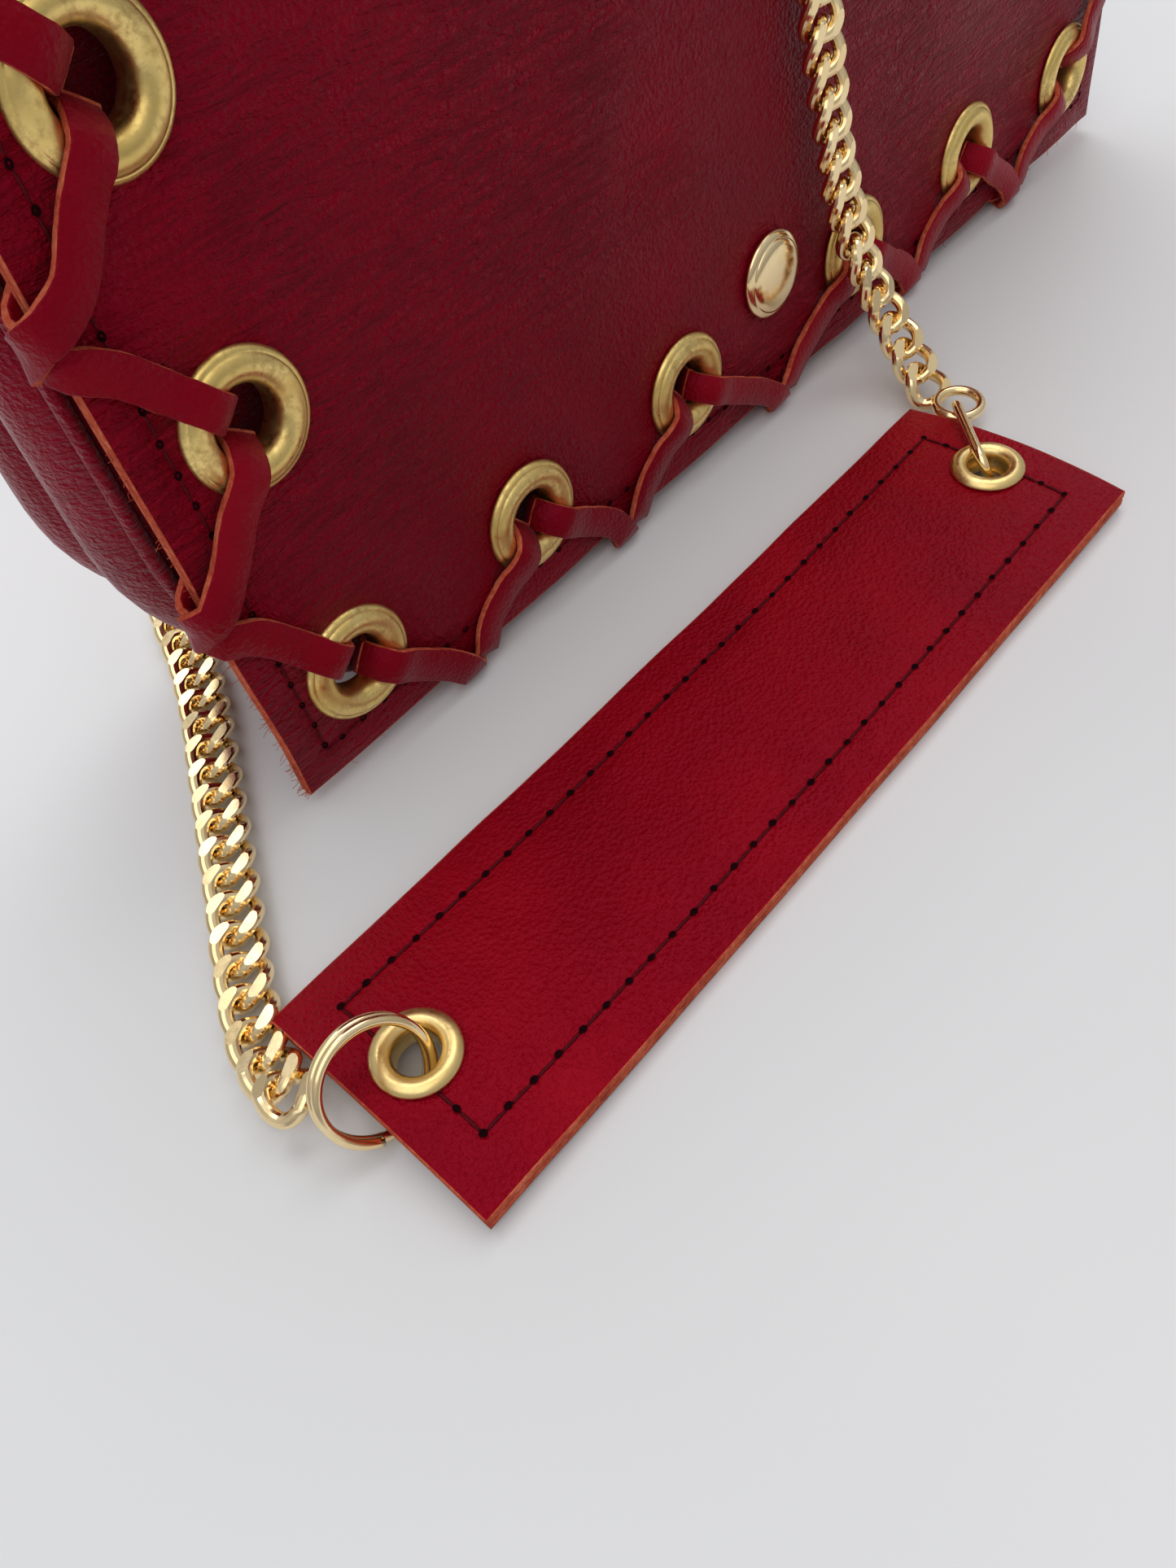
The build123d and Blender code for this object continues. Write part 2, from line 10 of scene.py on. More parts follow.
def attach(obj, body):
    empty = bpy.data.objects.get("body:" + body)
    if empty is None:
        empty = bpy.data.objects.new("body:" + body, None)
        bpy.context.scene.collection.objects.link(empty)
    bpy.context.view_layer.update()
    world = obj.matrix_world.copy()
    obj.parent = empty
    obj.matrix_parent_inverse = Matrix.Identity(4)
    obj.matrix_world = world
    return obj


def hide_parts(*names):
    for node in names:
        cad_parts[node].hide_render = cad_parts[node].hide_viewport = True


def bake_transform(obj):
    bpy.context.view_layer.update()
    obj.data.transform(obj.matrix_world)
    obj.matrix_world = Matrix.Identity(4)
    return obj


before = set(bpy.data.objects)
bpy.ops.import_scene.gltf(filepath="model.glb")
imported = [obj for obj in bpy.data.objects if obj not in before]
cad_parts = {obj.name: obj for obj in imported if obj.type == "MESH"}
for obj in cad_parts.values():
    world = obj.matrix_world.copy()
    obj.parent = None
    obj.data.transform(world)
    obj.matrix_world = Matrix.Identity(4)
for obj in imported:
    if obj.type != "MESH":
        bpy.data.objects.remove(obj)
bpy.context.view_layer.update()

MM = 0.001
random.seed(7)

# ---- Driving dimensions, in millimetres, as in the frame ----
LEATHER = 1.3
FLAP_WIDTH = 265.0
FLAP_DROP = 158.0
FLAP_LEAN = math.radians(4)
BACK_LEAN = math.radians(6)
FLAP_EDGE = Vector((0, -24.74, 3.5))
FOLD_RADIUS = 13.0
BAND_TAIL = 20.0
BODY_HEIGHT = 156.0
BODY_CORNER = 55.0
FRONT_TURN = 20.0
BACK_TURN = 14.0
FRONT_FOOT = -17.16
EYELET_X = (28.0, 72.0, 114.5)
EYELET_UP = (63.5, 106.0, 148.0)
BOTTOM_ROW = 17.0
EYELET_RISE = 2.2
LACE_WIDTH = 5.8
LACE_THICK = 1.5
SNAP_HEIGHT = 25.5
FLAP_STITCH = 6.0
STITCH_PITCH = 5.0
PAD_LENGTH = 171.8
PAD_WIDTH = 46.0
PAD_CENTRE = Vector((-78.0, -75.34, 0))
PAD_LAYER = 1.7           # soft leather stands a little thicker than its flat solid
PAD_NEAR_LIFT = 4.6
PAD_FAR_LIFT = 2.8
PAD_STITCH = 8.0
PAD_EYELET = PAD_LENGTH / 2 - 10
CHAIN_WIDTH = 9.6
CHAIN_WIRE = 2.4
CHAIN_PITCH = 5.9

TAB_X = 80.0              # ring tabs, left and right of the centre line
TAB_WIDTH = 14.0
TAB_LOW = 95.0            # heights along the back panel
TAB_STITCHED = 117.0
TAB_BAR = 124.0
BAR_STANDOFF = 2.9
TAB_LOOP = 1.5
LINING_GAP = 2.6          # the pouch's distance inside the body
LINING_FLOOR = 2.8
LINING_TOP = 150.0
LINING_WALL = 0.7
BODY_WALL = 1.6
PIPING_RADIUS = 1.25
OUTLINE_FRONT = 60        # points along the body's front or back, and along one side
OUTLINE_SIDE = 14
SPLIT_CENTRE = Vector((-160.6, -74.14, 8.9))
SPLIT_RADIUS = 8.8
SPLIT_WIRE = 1.6
SPLIT_TILT = math.radians(60)

# The chains' routes, as control points, from each ring to the strap's fittings
RIGHT_ROUTE = (
    (80.0, 20.26, 138.9), (73.0, 22.76, 149.0), (61.0, 22.76, 161.0), (47.0, 18.26, 172.5),
    (33.0, 7.26, 181.5), (21.0, -7.74, 182.0), (13.5, -18.74, 170.5), (10.5, -19.74, 146.0),
    (10.2, -21.24, 112.0), (11.0, -23.74, 79.0), (13.3, -26.24, 54.0), (17.0, -29.74, 30.0),
    (20.5, -40.24, 10.0), (14.6, -53.34, 3.4),
)
LEFT_ROUTE = (
    (-80.0, 27.16, 111.2), (-80.5, 29.16, 98.0), (-79.5, 30.26, 75.0), (-80.5, 31.76, 51.0),
    (-82.0, 34.26, 29.0), (-85.0, 41.96, 13.0), (-96.0, 47.5, 4.0), (-110.0, 46.0, 3.1),
    (-119.5, 36.0, 3.2), (-124.5, 22.0, 3.0), (-131.0, 8.5, 3.1), (-138.5, -4.0, 3.2),
    (-146.5, -17.24, 3.0), (-154.8, -31.24, 3.2), (-163.0, -44.24, 3.0), (-169.3, -56.74, 3.4),
    (-169.6, -67.24, 7.4),
)

# ---- The flap's frame: x along the width, y up the flap, z out of its front ----
FLAP_UP = Vector((0, math.sin(FLAP_LEAN), math.cos(FLAP_LEAN)))
FLAP_OUT = Vector((0, -math.cos(FLAP_LEAN), math.sin(FLAP_LEAN)))
BACK_UP = Vector((0, -math.sin(BACK_LEAN), math.cos(BACK_LEAN)))
BACK_OUT = Vector((0, math.cos(BACK_LEAN), math.sin(BACK_LEAN)))
FOLD_CENTRE = FLAP_EDGE + FLAP_UP * FLAP_DROP - FLAP_OUT * FOLD_RADIUS
FOLD_TURN = math.pi - FLAP_LEAN - BACK_LEAN
FOLD_ARC = FOLD_RADIUS * FOLD_TURN
BACK_FOOT = FOLD_CENTRE.y + (
    FOLD_RADIUS - 2 * LEATHER + FOLD_CENTRE.z * math.sin(BACK_LEAN)
) / math.cos(BACK_LEAN)
SHEET_LENGTH = FLAP_DROP + FOLD_ARC + BAND_TAIL

side_x = EYELET_X[-1]
EYELETS = [(-side_x, h) for h in reversed(EYELET_UP)]
EYELETS += [(-x, BOTTOM_ROW) for x in reversed(EYELET_X)]
EYELETS += [(x, BOTTOM_ROW) for x in EYELET_X]
EYELETS += [(side_x, h) for h in EYELET_UP]


def flap_way(x, y, z):
    """An offset in the flap's frame, as an offset in the row frame."""
    return Vector((x, 0, 0)) + FLAP_UP * y + FLAP_OUT * z


def smooth(a, b, t):
    """0 below a, 1 above b, and a soft step between."""
    t = min(1.0, max(0.0, (t - a) / (b - a)))
    return t * t * (3 - 2 * t)


def bell(distance, width):
    return math.exp(-(distance / width) ** 2)


# ---- Materials ----
def new_material(name):
    material = bpy.data.materials.new(name)
    material.use_nodes = True
    tree = material.node_tree
    tree.nodes.clear()
    output = tree.nodes.new("ShaderNodeOutputMaterial")
    shader = tree.nodes.new("ShaderNodeBsdfPrincipled")
    tree.links.new(shader.outputs[0], output.inputs[0])
    return material, tree, shader


def position(tree, scale=(1, 1, 1), turn=(0, 0, 0)):
    """Object coordinates, stretched and turned."""
    place = tree.nodes.new("ShaderNodeTexCoord")
    mapping = tree.nodes.new("ShaderNodeMapping")
    mapping.inputs["Scale"].default_value = scale
    mapping.inputs["Rotation"].default_value = turn
    tree.links.new(place.outputs["Object"], mapping.inputs["Vector"])
    return mapping.outputs[0]


def noise_node(tree, where, scale, detail=3.0, rough=0.5, distort=0.0):
    node = tree.nodes.new("ShaderNodeTexNoise")
    node.inputs["Scale"].default_value = scale
    node.inputs["Detail"].default_value = detail
    node.inputs["Roughness"].default_value = rough
    node.inputs["Distortion"].default_value = distort
    tree.links.new(where, node.inputs["Vector"])
    return node.outputs["Fac"]


def voronoi_node(tree, where, scale, feature="F1", spread=1.0):
    node = tree.nodes.new("ShaderNodeTexVoronoi")
    node.feature = feature
    node.inputs["Scale"].default_value = scale
    node.inputs["Randomness"].default_value = spread
    tree.links.new(where, node.inputs["Vector"])
    return node.outputs["Distance"]


def math_node(tree, kind, a, b=None, clamp=False):
    node = tree.nodes.new("ShaderNodeMath")
    node.operation = kind
    node.use_clamp = clamp
    for socket, value in zip(node.inputs, (a, b)):
        if value is None:
            continue
        if isinstance(value, (int, float)):
            socket.default_value = value
        else:
            tree.links.new(value, socket)
    return node.outputs[0]


def ramp(tree, value, *stops):
    node = tree.nodes.new("ShaderNodeValToRGB")
    line = node.color_ramp
    while len(line.elements) < len(stops):
        line.elements.new(0.5)
    for element, (place, colour) in zip(line.elements, stops):
        element.position = place
        element.color = (*colour, 1)
    tree.links.new(value, node.inputs[0])
    return node.outputs[0]


def levels(tree, value, low, high, out_low, out_high):
    node = tree.nodes.new("ShaderNodeMapRange")
    for socket, number in zip(("From Min", "From Max", "To Min", "To Max"), (low, high, out_low, out_high)):
        node.inputs[socket].default_value = number
    tree.links.new(value, node.inputs["Value"])
    return node.outputs[0]


def bump(tree, height, depth, normal=None, strength=1.0):
    node = tree.nodes.new("ShaderNodeBump")
    node.inputs["Distance"].default_value = depth
    node.inputs["Strength"].default_value = strength
    tree.links.new(height, node.inputs["Height"])
    if normal is not None:
        tree.links.new(normal, node.inputs["Normal"])
    return node.outputs[0]


def leather(name, dark, base, light, pebble, crease, shine, wrinkles=0.0, haze=0.0):
    """Grained leather. pebble, crease and wrinkles are depths in millimetres; haze is its dusty sheen."""
    material, tree, shader = new_material(name)
    where = position(tree)
    drift = noise_node(tree, where, 14, 3, 0.55)
    patch = noise_node(tree, where, 60, 4, 0.6)
    broad = math_node(tree, "MULTIPLY", drift, 0.65)
    tone = math_node(tree, "ADD", broad, math_node(tree, "MULTIPLY", patch, 0.35))
    colour = ramp(tree, tone, (0.30, dark), (0.50, base), (0.72, light))
    cells = voronoi_node(tree, position(tree, (1, 1, 1), (0.3, 0.5, 0.2)), 1150, "F1")
    fine = voronoi_node(tree, where, 2400, "F1")
    pores = noise_node(tree, where, 900, 4, 0.6)
    folds = noise_node(tree, position(tree, (1, 2.6, 1), (0.2, 0.9, 0.5)), 160, 5, 0.62, 1.2)
    tree.links.new(colour, shader.inputs["Base Color"])
    first = bump(tree, cells, pebble * MM, strength=0.9)
    second = bump(tree, fine, pebble * 0.5 * MM, first, 0.7)
    third = bump(tree, folds, crease * MM, second, 0.8)
    fourth = bump(tree, pores, pebble * 0.4 * MM, third, 0.5)
    if wrinkles:
        lines = noise_node(tree, position(tree, (0.45, 1, 2.2), (0.1, 0.75, 0.2)), 230, 4, 0.55, 2.2)
        where_worn = levels(tree, noise_node(tree, where, 16, 2), 0.42, 0.62, 0.15, 1.0)
        shaped = math_node(tree, "MULTIPLY", lines, where_worn)
        fourth = bump(tree, shaped, wrinkles * MM, fourth, 0.9)
    tree.links.new(fourth, shader.inputs["Normal"])
    tree.links.new(levels(tree, patch, 0.3, 0.7, shine - 0.05, shine + 0.07), shader.inputs["Roughness"])
    shader.inputs["Specular IOR Level"].default_value = 0.26
    shader.inputs["Specular Tint"].default_value = (1.0, 0.16, 0.36, 1)
    shader.inputs["Sheen Weight"].default_value = haze
    shader.inputs["Sheen Roughness"].default_value = 0.45
    shader.inputs["Sheen Tint"].default_value = (1.0, 0.72, 0.78, 1)
    return material


def cut_edge(name, dark, base, light):
    """The raw edge of cut leather: fibres in layers, matt and warm."""
    material, tree, shader = new_material(name)
    where = position(tree)
    fibres = noise_node(tree, position(tree, (1, 1, 1)), 900, 5, 0.7)
    patch = noise_node(tree, where, 170, 3, 0.6)
    strands = math_node(tree, "MULTIPLY", fibres, 0.6)
    tone = math_node(tree, "ADD", strands, math_node(tree, "MULTIPLY", patch, 0.4))
    tree.links.new(ramp(tree, tone, (0.33, dark), (0.5, base), (0.68, light)), shader.inputs["Base Color"])
    tree.links.new(bump(tree, fibres, 0.35 * MM), shader.inputs["Normal"])
    shader.inputs["Roughness"].default_value = 0.92
    shader.inputs["Specular IOR Level"].default_value = 0.15
    return material


def metal(name, base, deep, rough, tarnish=0.0, stain=(0.1, 0.05, 0.02), scratches=0.02):
    """Plated or solid brass. tarnish is how much of the surface the stain covers."""
    material, tree, shader = new_material(name)
    where = position(tree)
    cloud = noise_node(tree, where, 130, 5, 0.6)
    speck = noise_node(tree, where, 900, 4, 0.65)
    colour = ramp(tree, cloud, (0.35, deep), (0.62, base))
    if tarnish:
        mask = levels(tree, math_node(tree, "MULTIPLY", cloud, speck), 0.24, 0.44, 0, tarnish)
        mix = tree.nodes.new("ShaderNodeMix")
        mix.data_type = "RGBA"
        tree.links.new(mask, mix.inputs[0])
        tree.links.new(colour, mix.inputs[6])
        mix.inputs[7].default_value = (*stain, 1)
        colour = mix.outputs[2]
    tree.links.new(colour, shader.inputs["Base Color"])
    shader.inputs["Metallic"].default_value = 1.0
    dull = levels(tree, speck, 0.3, 0.75, rough, rough + 0.12 + 0.2 * tarnish)
    tree.links.new(dull, shader.inputs["Roughness"])
    tree.links.new(bump(tree, speck, scratches * MM), shader.inputs["Normal"])
    return material


def cloth(name, base, light):
    """Plain woven lining."""
    material, tree, shader = new_material(name)
    waves = []
    for turn in ((0, 0, 0), (0, math.pi / 2, 0)):
        node = tree.nodes.new("ShaderNodeTexWave")
        node.inputs["Scale"].default_value = 900
        node.inputs["Distortion"].default_value = 0.6
        tree.links.new(position(tree, (1, 1, 1), turn), node.inputs["Vector"])
        waves.append(node.outputs["Fac"])
    weave = math_node(tree, "MAXIMUM", *waves)
    tree.links.new(ramp(tree, weave, (0.2, base), (0.9, light)), shader.inputs["Base Color"])
    tree.links.new(bump(tree, weave, 0.15 * MM), shader.inputs["Normal"])
    shader.inputs["Roughness"].default_value = 0.85
    shader.inputs["Sheen Weight"].default_value = 0.3
    return material


def waxed_thread(name, base, light):
    material, tree, shader = new_material(name)
    where = position(tree)
    strands = noise_node(tree, position(tree, (1, 1, 1), (0.6, 0.6, 0.6)), 2600, 3, 0.6)
    tree.links.new(ramp(tree, strands, (0.35, base), (0.7, light)), shader.inputs["Base Color"])
    tree.links.new(bump(tree, noise_node(tree, where, 2000, 2), 0.12 * MM), shader.inputs["Normal"])
    shader.inputs["Roughness"].default_value = 0.6
    shader.inputs["Specular IOR Level"].default_value = 0.12
    return material


# Painted shade: a near-black material for the discs that stand in for the dark inside the awl holes.
def painted_hole_shade(name):
    material, tree, shader = new_material(name)
    speck = noise_node(tree, position(tree), 1500, 2)
    tree.links.new(ramp(tree, speck, (0.3, (0.006, 0.001, 0.002)), (0.8, (0.02, 0.002, 0.004))),
                   shader.inputs["Base Color"])
    shader.inputs["Roughness"].default_value = 0.95
    shader.inputs["Specular IOR Level"].default_value = 0.05
    return material


FLAP_LEATHER = leather(
    "flap_leather", (0.155, 0.0004, 0.0055), (0.215, 0.0006, 0.0082), (0.280, 0.0012, 0.0115),
    0.30, 0.34, 0.34, 3.0,
)
BODY_LEATHER = leather(
    "body_leather", (0.150, 0.0006, 0.0055), (0.205, 0.0010, 0.0085), (0.265, 0.0020, 0.0118),
    0.28, 0.32, 0.32, 1.4, 0.30,
)
PAD_LEATHER = leather(
    "pad_leather", (0.195, 0.0005, 0.0050), (0.275, 0.0010, 0.0072), (0.375, 0.0040, 0.0100),
    0.32, 0.18, 0.35,
)
LACE_LEATHER = leather(
    "lace_leather", (0.155, 0.0006, 0.0050), (0.225, 0.0010, 0.0075), (0.305, 0.0036, 0.0108),
    0.16, 0.22, 0.35, 0.0, 0.06,
)
RAW_EDGE = cut_edge("raw_edge", (0.28, 0.030, 0.016), (0.56, 0.095, 0.045), (0.76, 0.23, 0.12))
OLD_BRASS = metal("old_brass", (0.93, 0.70, 0.27), (0.76, 0.54, 0.17), 0.25, 0.75, (0.40, 0.24, 0.07), 0.04)
SATIN_BRASS = metal(
    "satin_brass", (0.95, 0.73, 0.33), (0.84, 0.61, 0.24), 0.25, 0.25, (0.55, 0.36, 0.13), 0.03,
)
GOLD = metal("gold", (1.00, 0.80, 0.47), (0.95, 0.71, 0.37), 0.11, 0.0, scratches=0.006)
LINING = cloth("lining", (0.05, 0.008, 0.010), (0.11, 0.018, 0.022))
THREAD = waxed_thread("thread", (0.060, 0.0006, 0.003), (0.120, 0.0020, 0.007))
# The dark of the stitch holes is painted shade.
HOLE_SHADE_PAINT = painted_hole_shade("awl_hole_painted_shade")


# ---- Mesh building ----
def mesh_object(name, vertices, faces, materials, kinds=None, flat=False):
    """vertices in metres; kinds gives each face's material."""
    mesh = bpy.data.meshes.new(name)
    mesh.from_pydata([tuple(v) for v in vertices], [], faces)
    for material in materials:
        mesh.materials.append(material)
    if kinds is not None:
        mesh.polygons.foreach_set("material_index", kinds)
    mesh.polygons.foreach_set("use_smooth", [not flat] * len(mesh.polygons))
    mesh.update()
    made = bmesh.new()
    made.from_mesh(mesh)
    bmesh.ops.recalc_face_normals(made, faces=made.faces)
    made.to_mesh(mesh)
    made.free()
    obj = bpy.data.objects.new(name, mesh)
    bpy.context.scene.collection.objects.link(obj)
    return obj


class Pile:
    """Vertices and faces of several forms, gathered into one mesh."""

    def __init__(self):
        self.vertices, self.faces, self.kinds = [], [], []

    def add(self, vertices, faces, kind=0):
        base = len(self.vertices)
        self.vertices += list(vertices)
        self.faces += [tuple(base + i for i in face) for face in faces]
        self.kinds += [kind] * len(faces) if isinstance(kind, int) else list(kind)

    def build(self, name, materials):
        return mesh_object(name, self.vertices, self.faces, materials, self.kinds)


def spaced(low, high, pitch, rim=(0.0, 0.2, 0.6, 1.6)):
    """Places from low to high, close together at both ends, where the edge is rounded."""
    count = max(2, round((high - low - 2 * rim[-1]) / pitch))
    inner = [low + rim[-1] + (high - low - 2 * rim[-1]) * i / count for i in range(count + 1)]
    return [low + r for r in rim[:-1]] + inner + [high - r for r in reversed(rim[:-1])]


def edge_drop(distance):
    """How far the cut edge rounds off, at a distance from it."""
    return 0.14 * max(0.0, 1 - distance / 0.6) ** 2


def slab(pile, columns, rows, surface, top, foot, holes=(), hole_radius=0.0):
    """A sheet of leather. surface(column, row) gives a point and the way out, in millimetres and row frame.
    top and foot are its two faces' heights over that surface. Its cut edge is the second material."""
    count, depth = len(columns), len(rows)
    front, back = [], []
    for r in rows:
        for c in columns:
            point, out = surface(c, r)
            gaps = [c - columns[0], columns[-1] - c, r - rows[0], rows[-1] - r]
            drop = min(edge_drop(min(gaps)), (top - foot) * 0.45)
            front.append((point + out * (top - drop)) * MM)
            back.append((point + out * (foot + drop)) * MM)
    faces, kinds = [], []
    size = count * depth
    sides = (0, count - 2)
    dropped = set()
    for j in range(depth - 1):
        for i in range(count - 1):
            middle = ((columns[i] + columns[i + 1]) / 2, (rows[j] + rows[j + 1]) / 2)
            if any(math.hypot(middle[0] - x, middle[1] - y) < hole_radius for x, y in holes):
                dropped.add((i, j))
                continue
            a, b = j * count + i, j * count + i + 1
            c, d = b + count, a + count
            cut = i in sides or j in (0, depth - 2)
            faces += [(a, b, c, d), (size + a, size + d, size + c, size + b)]
            kinds += [int(cut)] * 2
    rim = list(range(count)) + [j * count + count - 1 for j in range(1, depth)]
    rim += [(depth - 1) * count + i for i in range(count - 2, -1, -1)]
    rim += [j * count for j in range(depth - 2, 0, -1)]
    for a, b in zip(rim, rim[1:] + rim[:1]):
        faces.append((a, b, size + b, size + a))
        kinds.append(1)
    for i, j in dropped:
        a, b = j * count + i, j * count + i + 1
        c, d = b + count, a + count
        around = (((i, j - 1), a, b), ((i + 1, j), b, c), ((i, j + 1), c, d), ((i - 1, j), d, a))
        for neighbour, p, q in around:
            if neighbour not in dropped:
                faces.append((p, size + p, size + q, q))
                kinds.append(1)
    pile.add(front + back, faces, kinds)


def spline(points, step):
    """A smooth line through the points, with a point every step."""
    points = [Vector(p) for p in points]
    ends = [points[0] * 2 - points[1]] + points + [points[-1] * 2 - points[-2]]
    line = []
    for p0, p1, p2, p3 in zip(ends, ends[1:], ends[2:], ends[3:]):
        count = max(1, round((p2 - p1).length / step))
        for k in range(count):
            t = k / count
            line.append(0.5 * (2 * p1 + (p2 - p0) * t + (2 * p0 - 5 * p1 + 4 * p2 - p3) * t * t
                               + (3 * p1 - 3 * p2 + p3 - p0) * t ** 3))
    line.append(points[-1])
    return line


def ribbon(pile, points, ways, width, thick, step=1.3):
    """A leather thong along points, in millimetres and row frame. ways are the ways its grain side faces."""
    line = spline(points, step)
    count = len(line)
    lengths = [0.0]
    for a, b in zip(points, points[1:]):
        lengths.append(lengths[-1] + (Vector(b) - Vector(a)).length)
    vertices, faces, kinds = [], [], []
    half, deep, soft = width / 2, thick / 2, thick * 0.13
    outline = [(-half, -deep + soft), (-half + soft, -deep), (0, -deep), (half - soft, -deep),
               (half, -deep + soft), (half + 0.05, 0), (half, deep - soft), (half - soft, deep),
               (0, deep + 0.08), (-half + soft, deep), (-half, deep - soft), (-half - 0.05, 0)]
    travelled, previous = 0.0, line[0]
    for k, point in enumerate(line):
        travelled += (point - previous).length
        previous = point
        way = blend_way(ways, lengths, travelled * lengths[-1] / max(line_length(line), 1e-6))
        ahead = line[min(k + 1, count - 1)] - line[max(k - 1, 0)]
        ahead.normalize()
        across = ahead.cross(way).normalized()
        out = across.cross(ahead).normalized()
        narrow = 1 + 0.05 * noise.noise(point * 0.35)
        for n, (u, v) in enumerate(outline):
            fuzz = 0.10 * noise.noise(point * 1.7 + Vector((n, 0, 0))) if n in (5, 11, 4, 6, 10, 0) else 0
            vertices.append((point + across * (u * narrow + fuzz * (1 if u > 0 else -1)) + out * v) * MM)
    size = len(outline)
    for k in range(count - 1):
        for n in range(size):
            m = (n + 1) % size
            faces.append((k * size + n, k * size + m, (k + 1) * size + m, (k + 1) * size + n))
            kinds.append(1 if n in (4, 5, 10, 11) else 0)
    faces.append(tuple(reversed(range(size))))
    faces.append(tuple((count - 1) * size + n for n in range(size)))
    kinds += [1, 1]
    pile.add(vertices, faces, kinds)


def line_length(line):
    return sum((b - a).length for a, b in zip(line, line[1:]))


def blend_way(ways, lengths, travelled):
    """The way the grain faces at a distance along the points."""
    for k in range(len(ways) - 1):
        if travelled <= lengths[k + 1] or k == len(ways) - 2:
            t = min(1.0, max(0.0, (travelled - lengths[k]) / max(lengths[k + 1] - lengths[k], 1e-6)))
            return (Vector(ways[k]) * (1 - t) + Vector(ways[k + 1]) * t).normalized()


def wire(pile, line, radius, closed=False, sides=14, kind=0):
    """Round wire along a line of points in millimetres."""
    count = len(line)
    ahead = []
    for k in range(count):
        a = line[(k - 1) % count] if closed else line[max(k - 1, 0)]
        b = line[(k + 1) % count] if closed else line[min(k + 1, count - 1)]
        ahead.append((b - a).normalized())
    across = ahead[0].orthogonal().normalized()
    vertices, faces = [], []
    for k, point in enumerate(line):
        across = (across - ahead[k] * across.dot(ahead[k])).normalized()
        other = ahead[k].cross(across)
        for n in range(sides):
            angle = 2 * math.pi * n / sides
            vertices.append((point + (across * math.cos(angle) + other * math.sin(angle)) * radius) * MM)
    for k in range(count if closed else count - 1):
        for n in range(sides):
            m, j = (n + 1) % sides, (k + 1) % count
            faces.append((k * sides + n, k * sides + m, j * sides + m, j * sides + n))
    if not closed:
        faces.append(tuple(reversed(range(sides))))
        faces.append(tuple((count - 1) * sides + n for n in range(sides)))
    pile.add(vertices, faces, kind)


def lathe(pile, outline, centre, x_way, out, segments=64, closed=True, kind=0):
    """An outline of (radius, height) turned about the way out, in millimetres."""
    y_way = out.cross(x_way)
    vertices, faces = [], []
    for k in range(segments):
        angle = 2 * math.pi * k / segments
        spoke = x_way * math.cos(angle) + y_way * math.sin(angle)
        vertices += [(centre + spoke * r + out * h) * MM for r, h in outline]
    size = len(outline)
    for k in range(segments):
        j = (k + 1) % segments
        for n in range(size if closed else size - 1):
            m = (n + 1) % size
            faces.append((k * size + n, j * size + n, j * size + m, k * size + m))
    pile.add(vertices, faces, kind)


def rounded(outline, times=2):
    """Corner cutting: an outline's corners become soft."""
    for _ in range(times):
        cut = []
        for (r1, h1), (r2, h2) in zip(outline, outline[1:] + outline[:1]):
            cut.append((r1 * 0.75 + r2 * 0.25, h1 * 0.75 + h2 * 0.25))
            cut.append((r1 * 0.25 + r2 * 0.75, h1 * 0.25 + h2 * 0.75))
        outline = cut
    return outline


# ---- Flap: one sheet of leather over the fold, and its lining ----
def fold_line(length):
    """The unbroken outer surface of the sheet, from its lower edge over the fold and down the back."""
    if length < FLAP_DROP:
        return FLAP_EDGE + FLAP_UP * length, FLAP_OUT
    turned = min(length - FLAP_DROP, FOLD_ARC) / FOLD_RADIUS
    angle = math.pi - FLAP_LEAN - turned
    out = Vector((0, math.cos(angle), math.sin(angle)))
    down = max(0.0, length - FLAP_DROP - FOLD_ARC)
    return FOLD_CENTRE + out * FOLD_RADIUS - BACK_UP * down, out


EDGE_PULLS = []
for (x1, y1), (x2, y2) in zip(EYELETS, EYELETS[1:]):
    level = y1 == y2
    side = 1 if x1 > 0 else -1
    EDGE_PULLS.append(((x1 + x2) / 2, 0.0) if level else (side * FLAP_WIDTH / 2, (y1 + y2) / 2))


def flap_relief(x, length):
    """How far the leather stands off its flat form."""
    swell = 0.55 * noise.noise(Vector((x * 0.018, length * 0.02, 1.3)))
    swell += 0.22 * noise.noise(Vector((x * 0.06, length * 0.05, 4.1)))
    for ex, ey in EYELETS:
        reach = math.hypot(x - ex, length - ey)
        if reach < 40:
            swell += 0.35 * bell(reach - 15.5, 4.0) - 0.25 * bell(reach, 11.0)
    for px, py in EDGE_PULLS:
        reach = math.hypot(x - px, length - py)
        if reach < 20:
            swell -= 0.35 * bell(reach, 6.0)
    from_edge = min(FLAP_WIDTH / 2 - abs(x), length)
    swell -= 0.42 * bell(from_edge - FLAP_STITCH, 1.15) * (length < FLAP_DROP)
    swell += 0.12 * bell(from_edge - FLAP_STITCH - 3.0, 2.2)
    swell -= 0.30 * bell(math.hypot(x, length - SNAP_HEIGHT) - 8.6, 2.2) * (length < 60)
    return swell


def flap_surface(x, length):
    point, out = fold_line(length)
    drift = 0.35 * noise.noise(Vector((length * 0.045, x * 0.002, 9)))
    return point + out * flap_relief(x, length) + Vector((x + drift * x / 130, 0, 0)), out


def make_flap():
    columns = spaced(-FLAP_WIDTH / 2, FLAP_WIDTH / 2, 1.9)
    rows = spaced(0.0, SHEET_LENGTH, 1.9)
    pile = Pile()
    slab(pile, columns, rows, flap_surface, 0.0, -LEATHER + 0.03, EYELETS, 7.2)
    slab(pile, columns, rows, flap_surface, -LEATHER - 0.03, -2 * LEATHER, EYELETS, 7.2)
    sheet = pile.build("flap_leather", [FLAP_LEATHER, RAW_EDGE])
    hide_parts("flap_outer", "flap_lining", "top_band_outer", "top_band_lining")
    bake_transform(sheet)
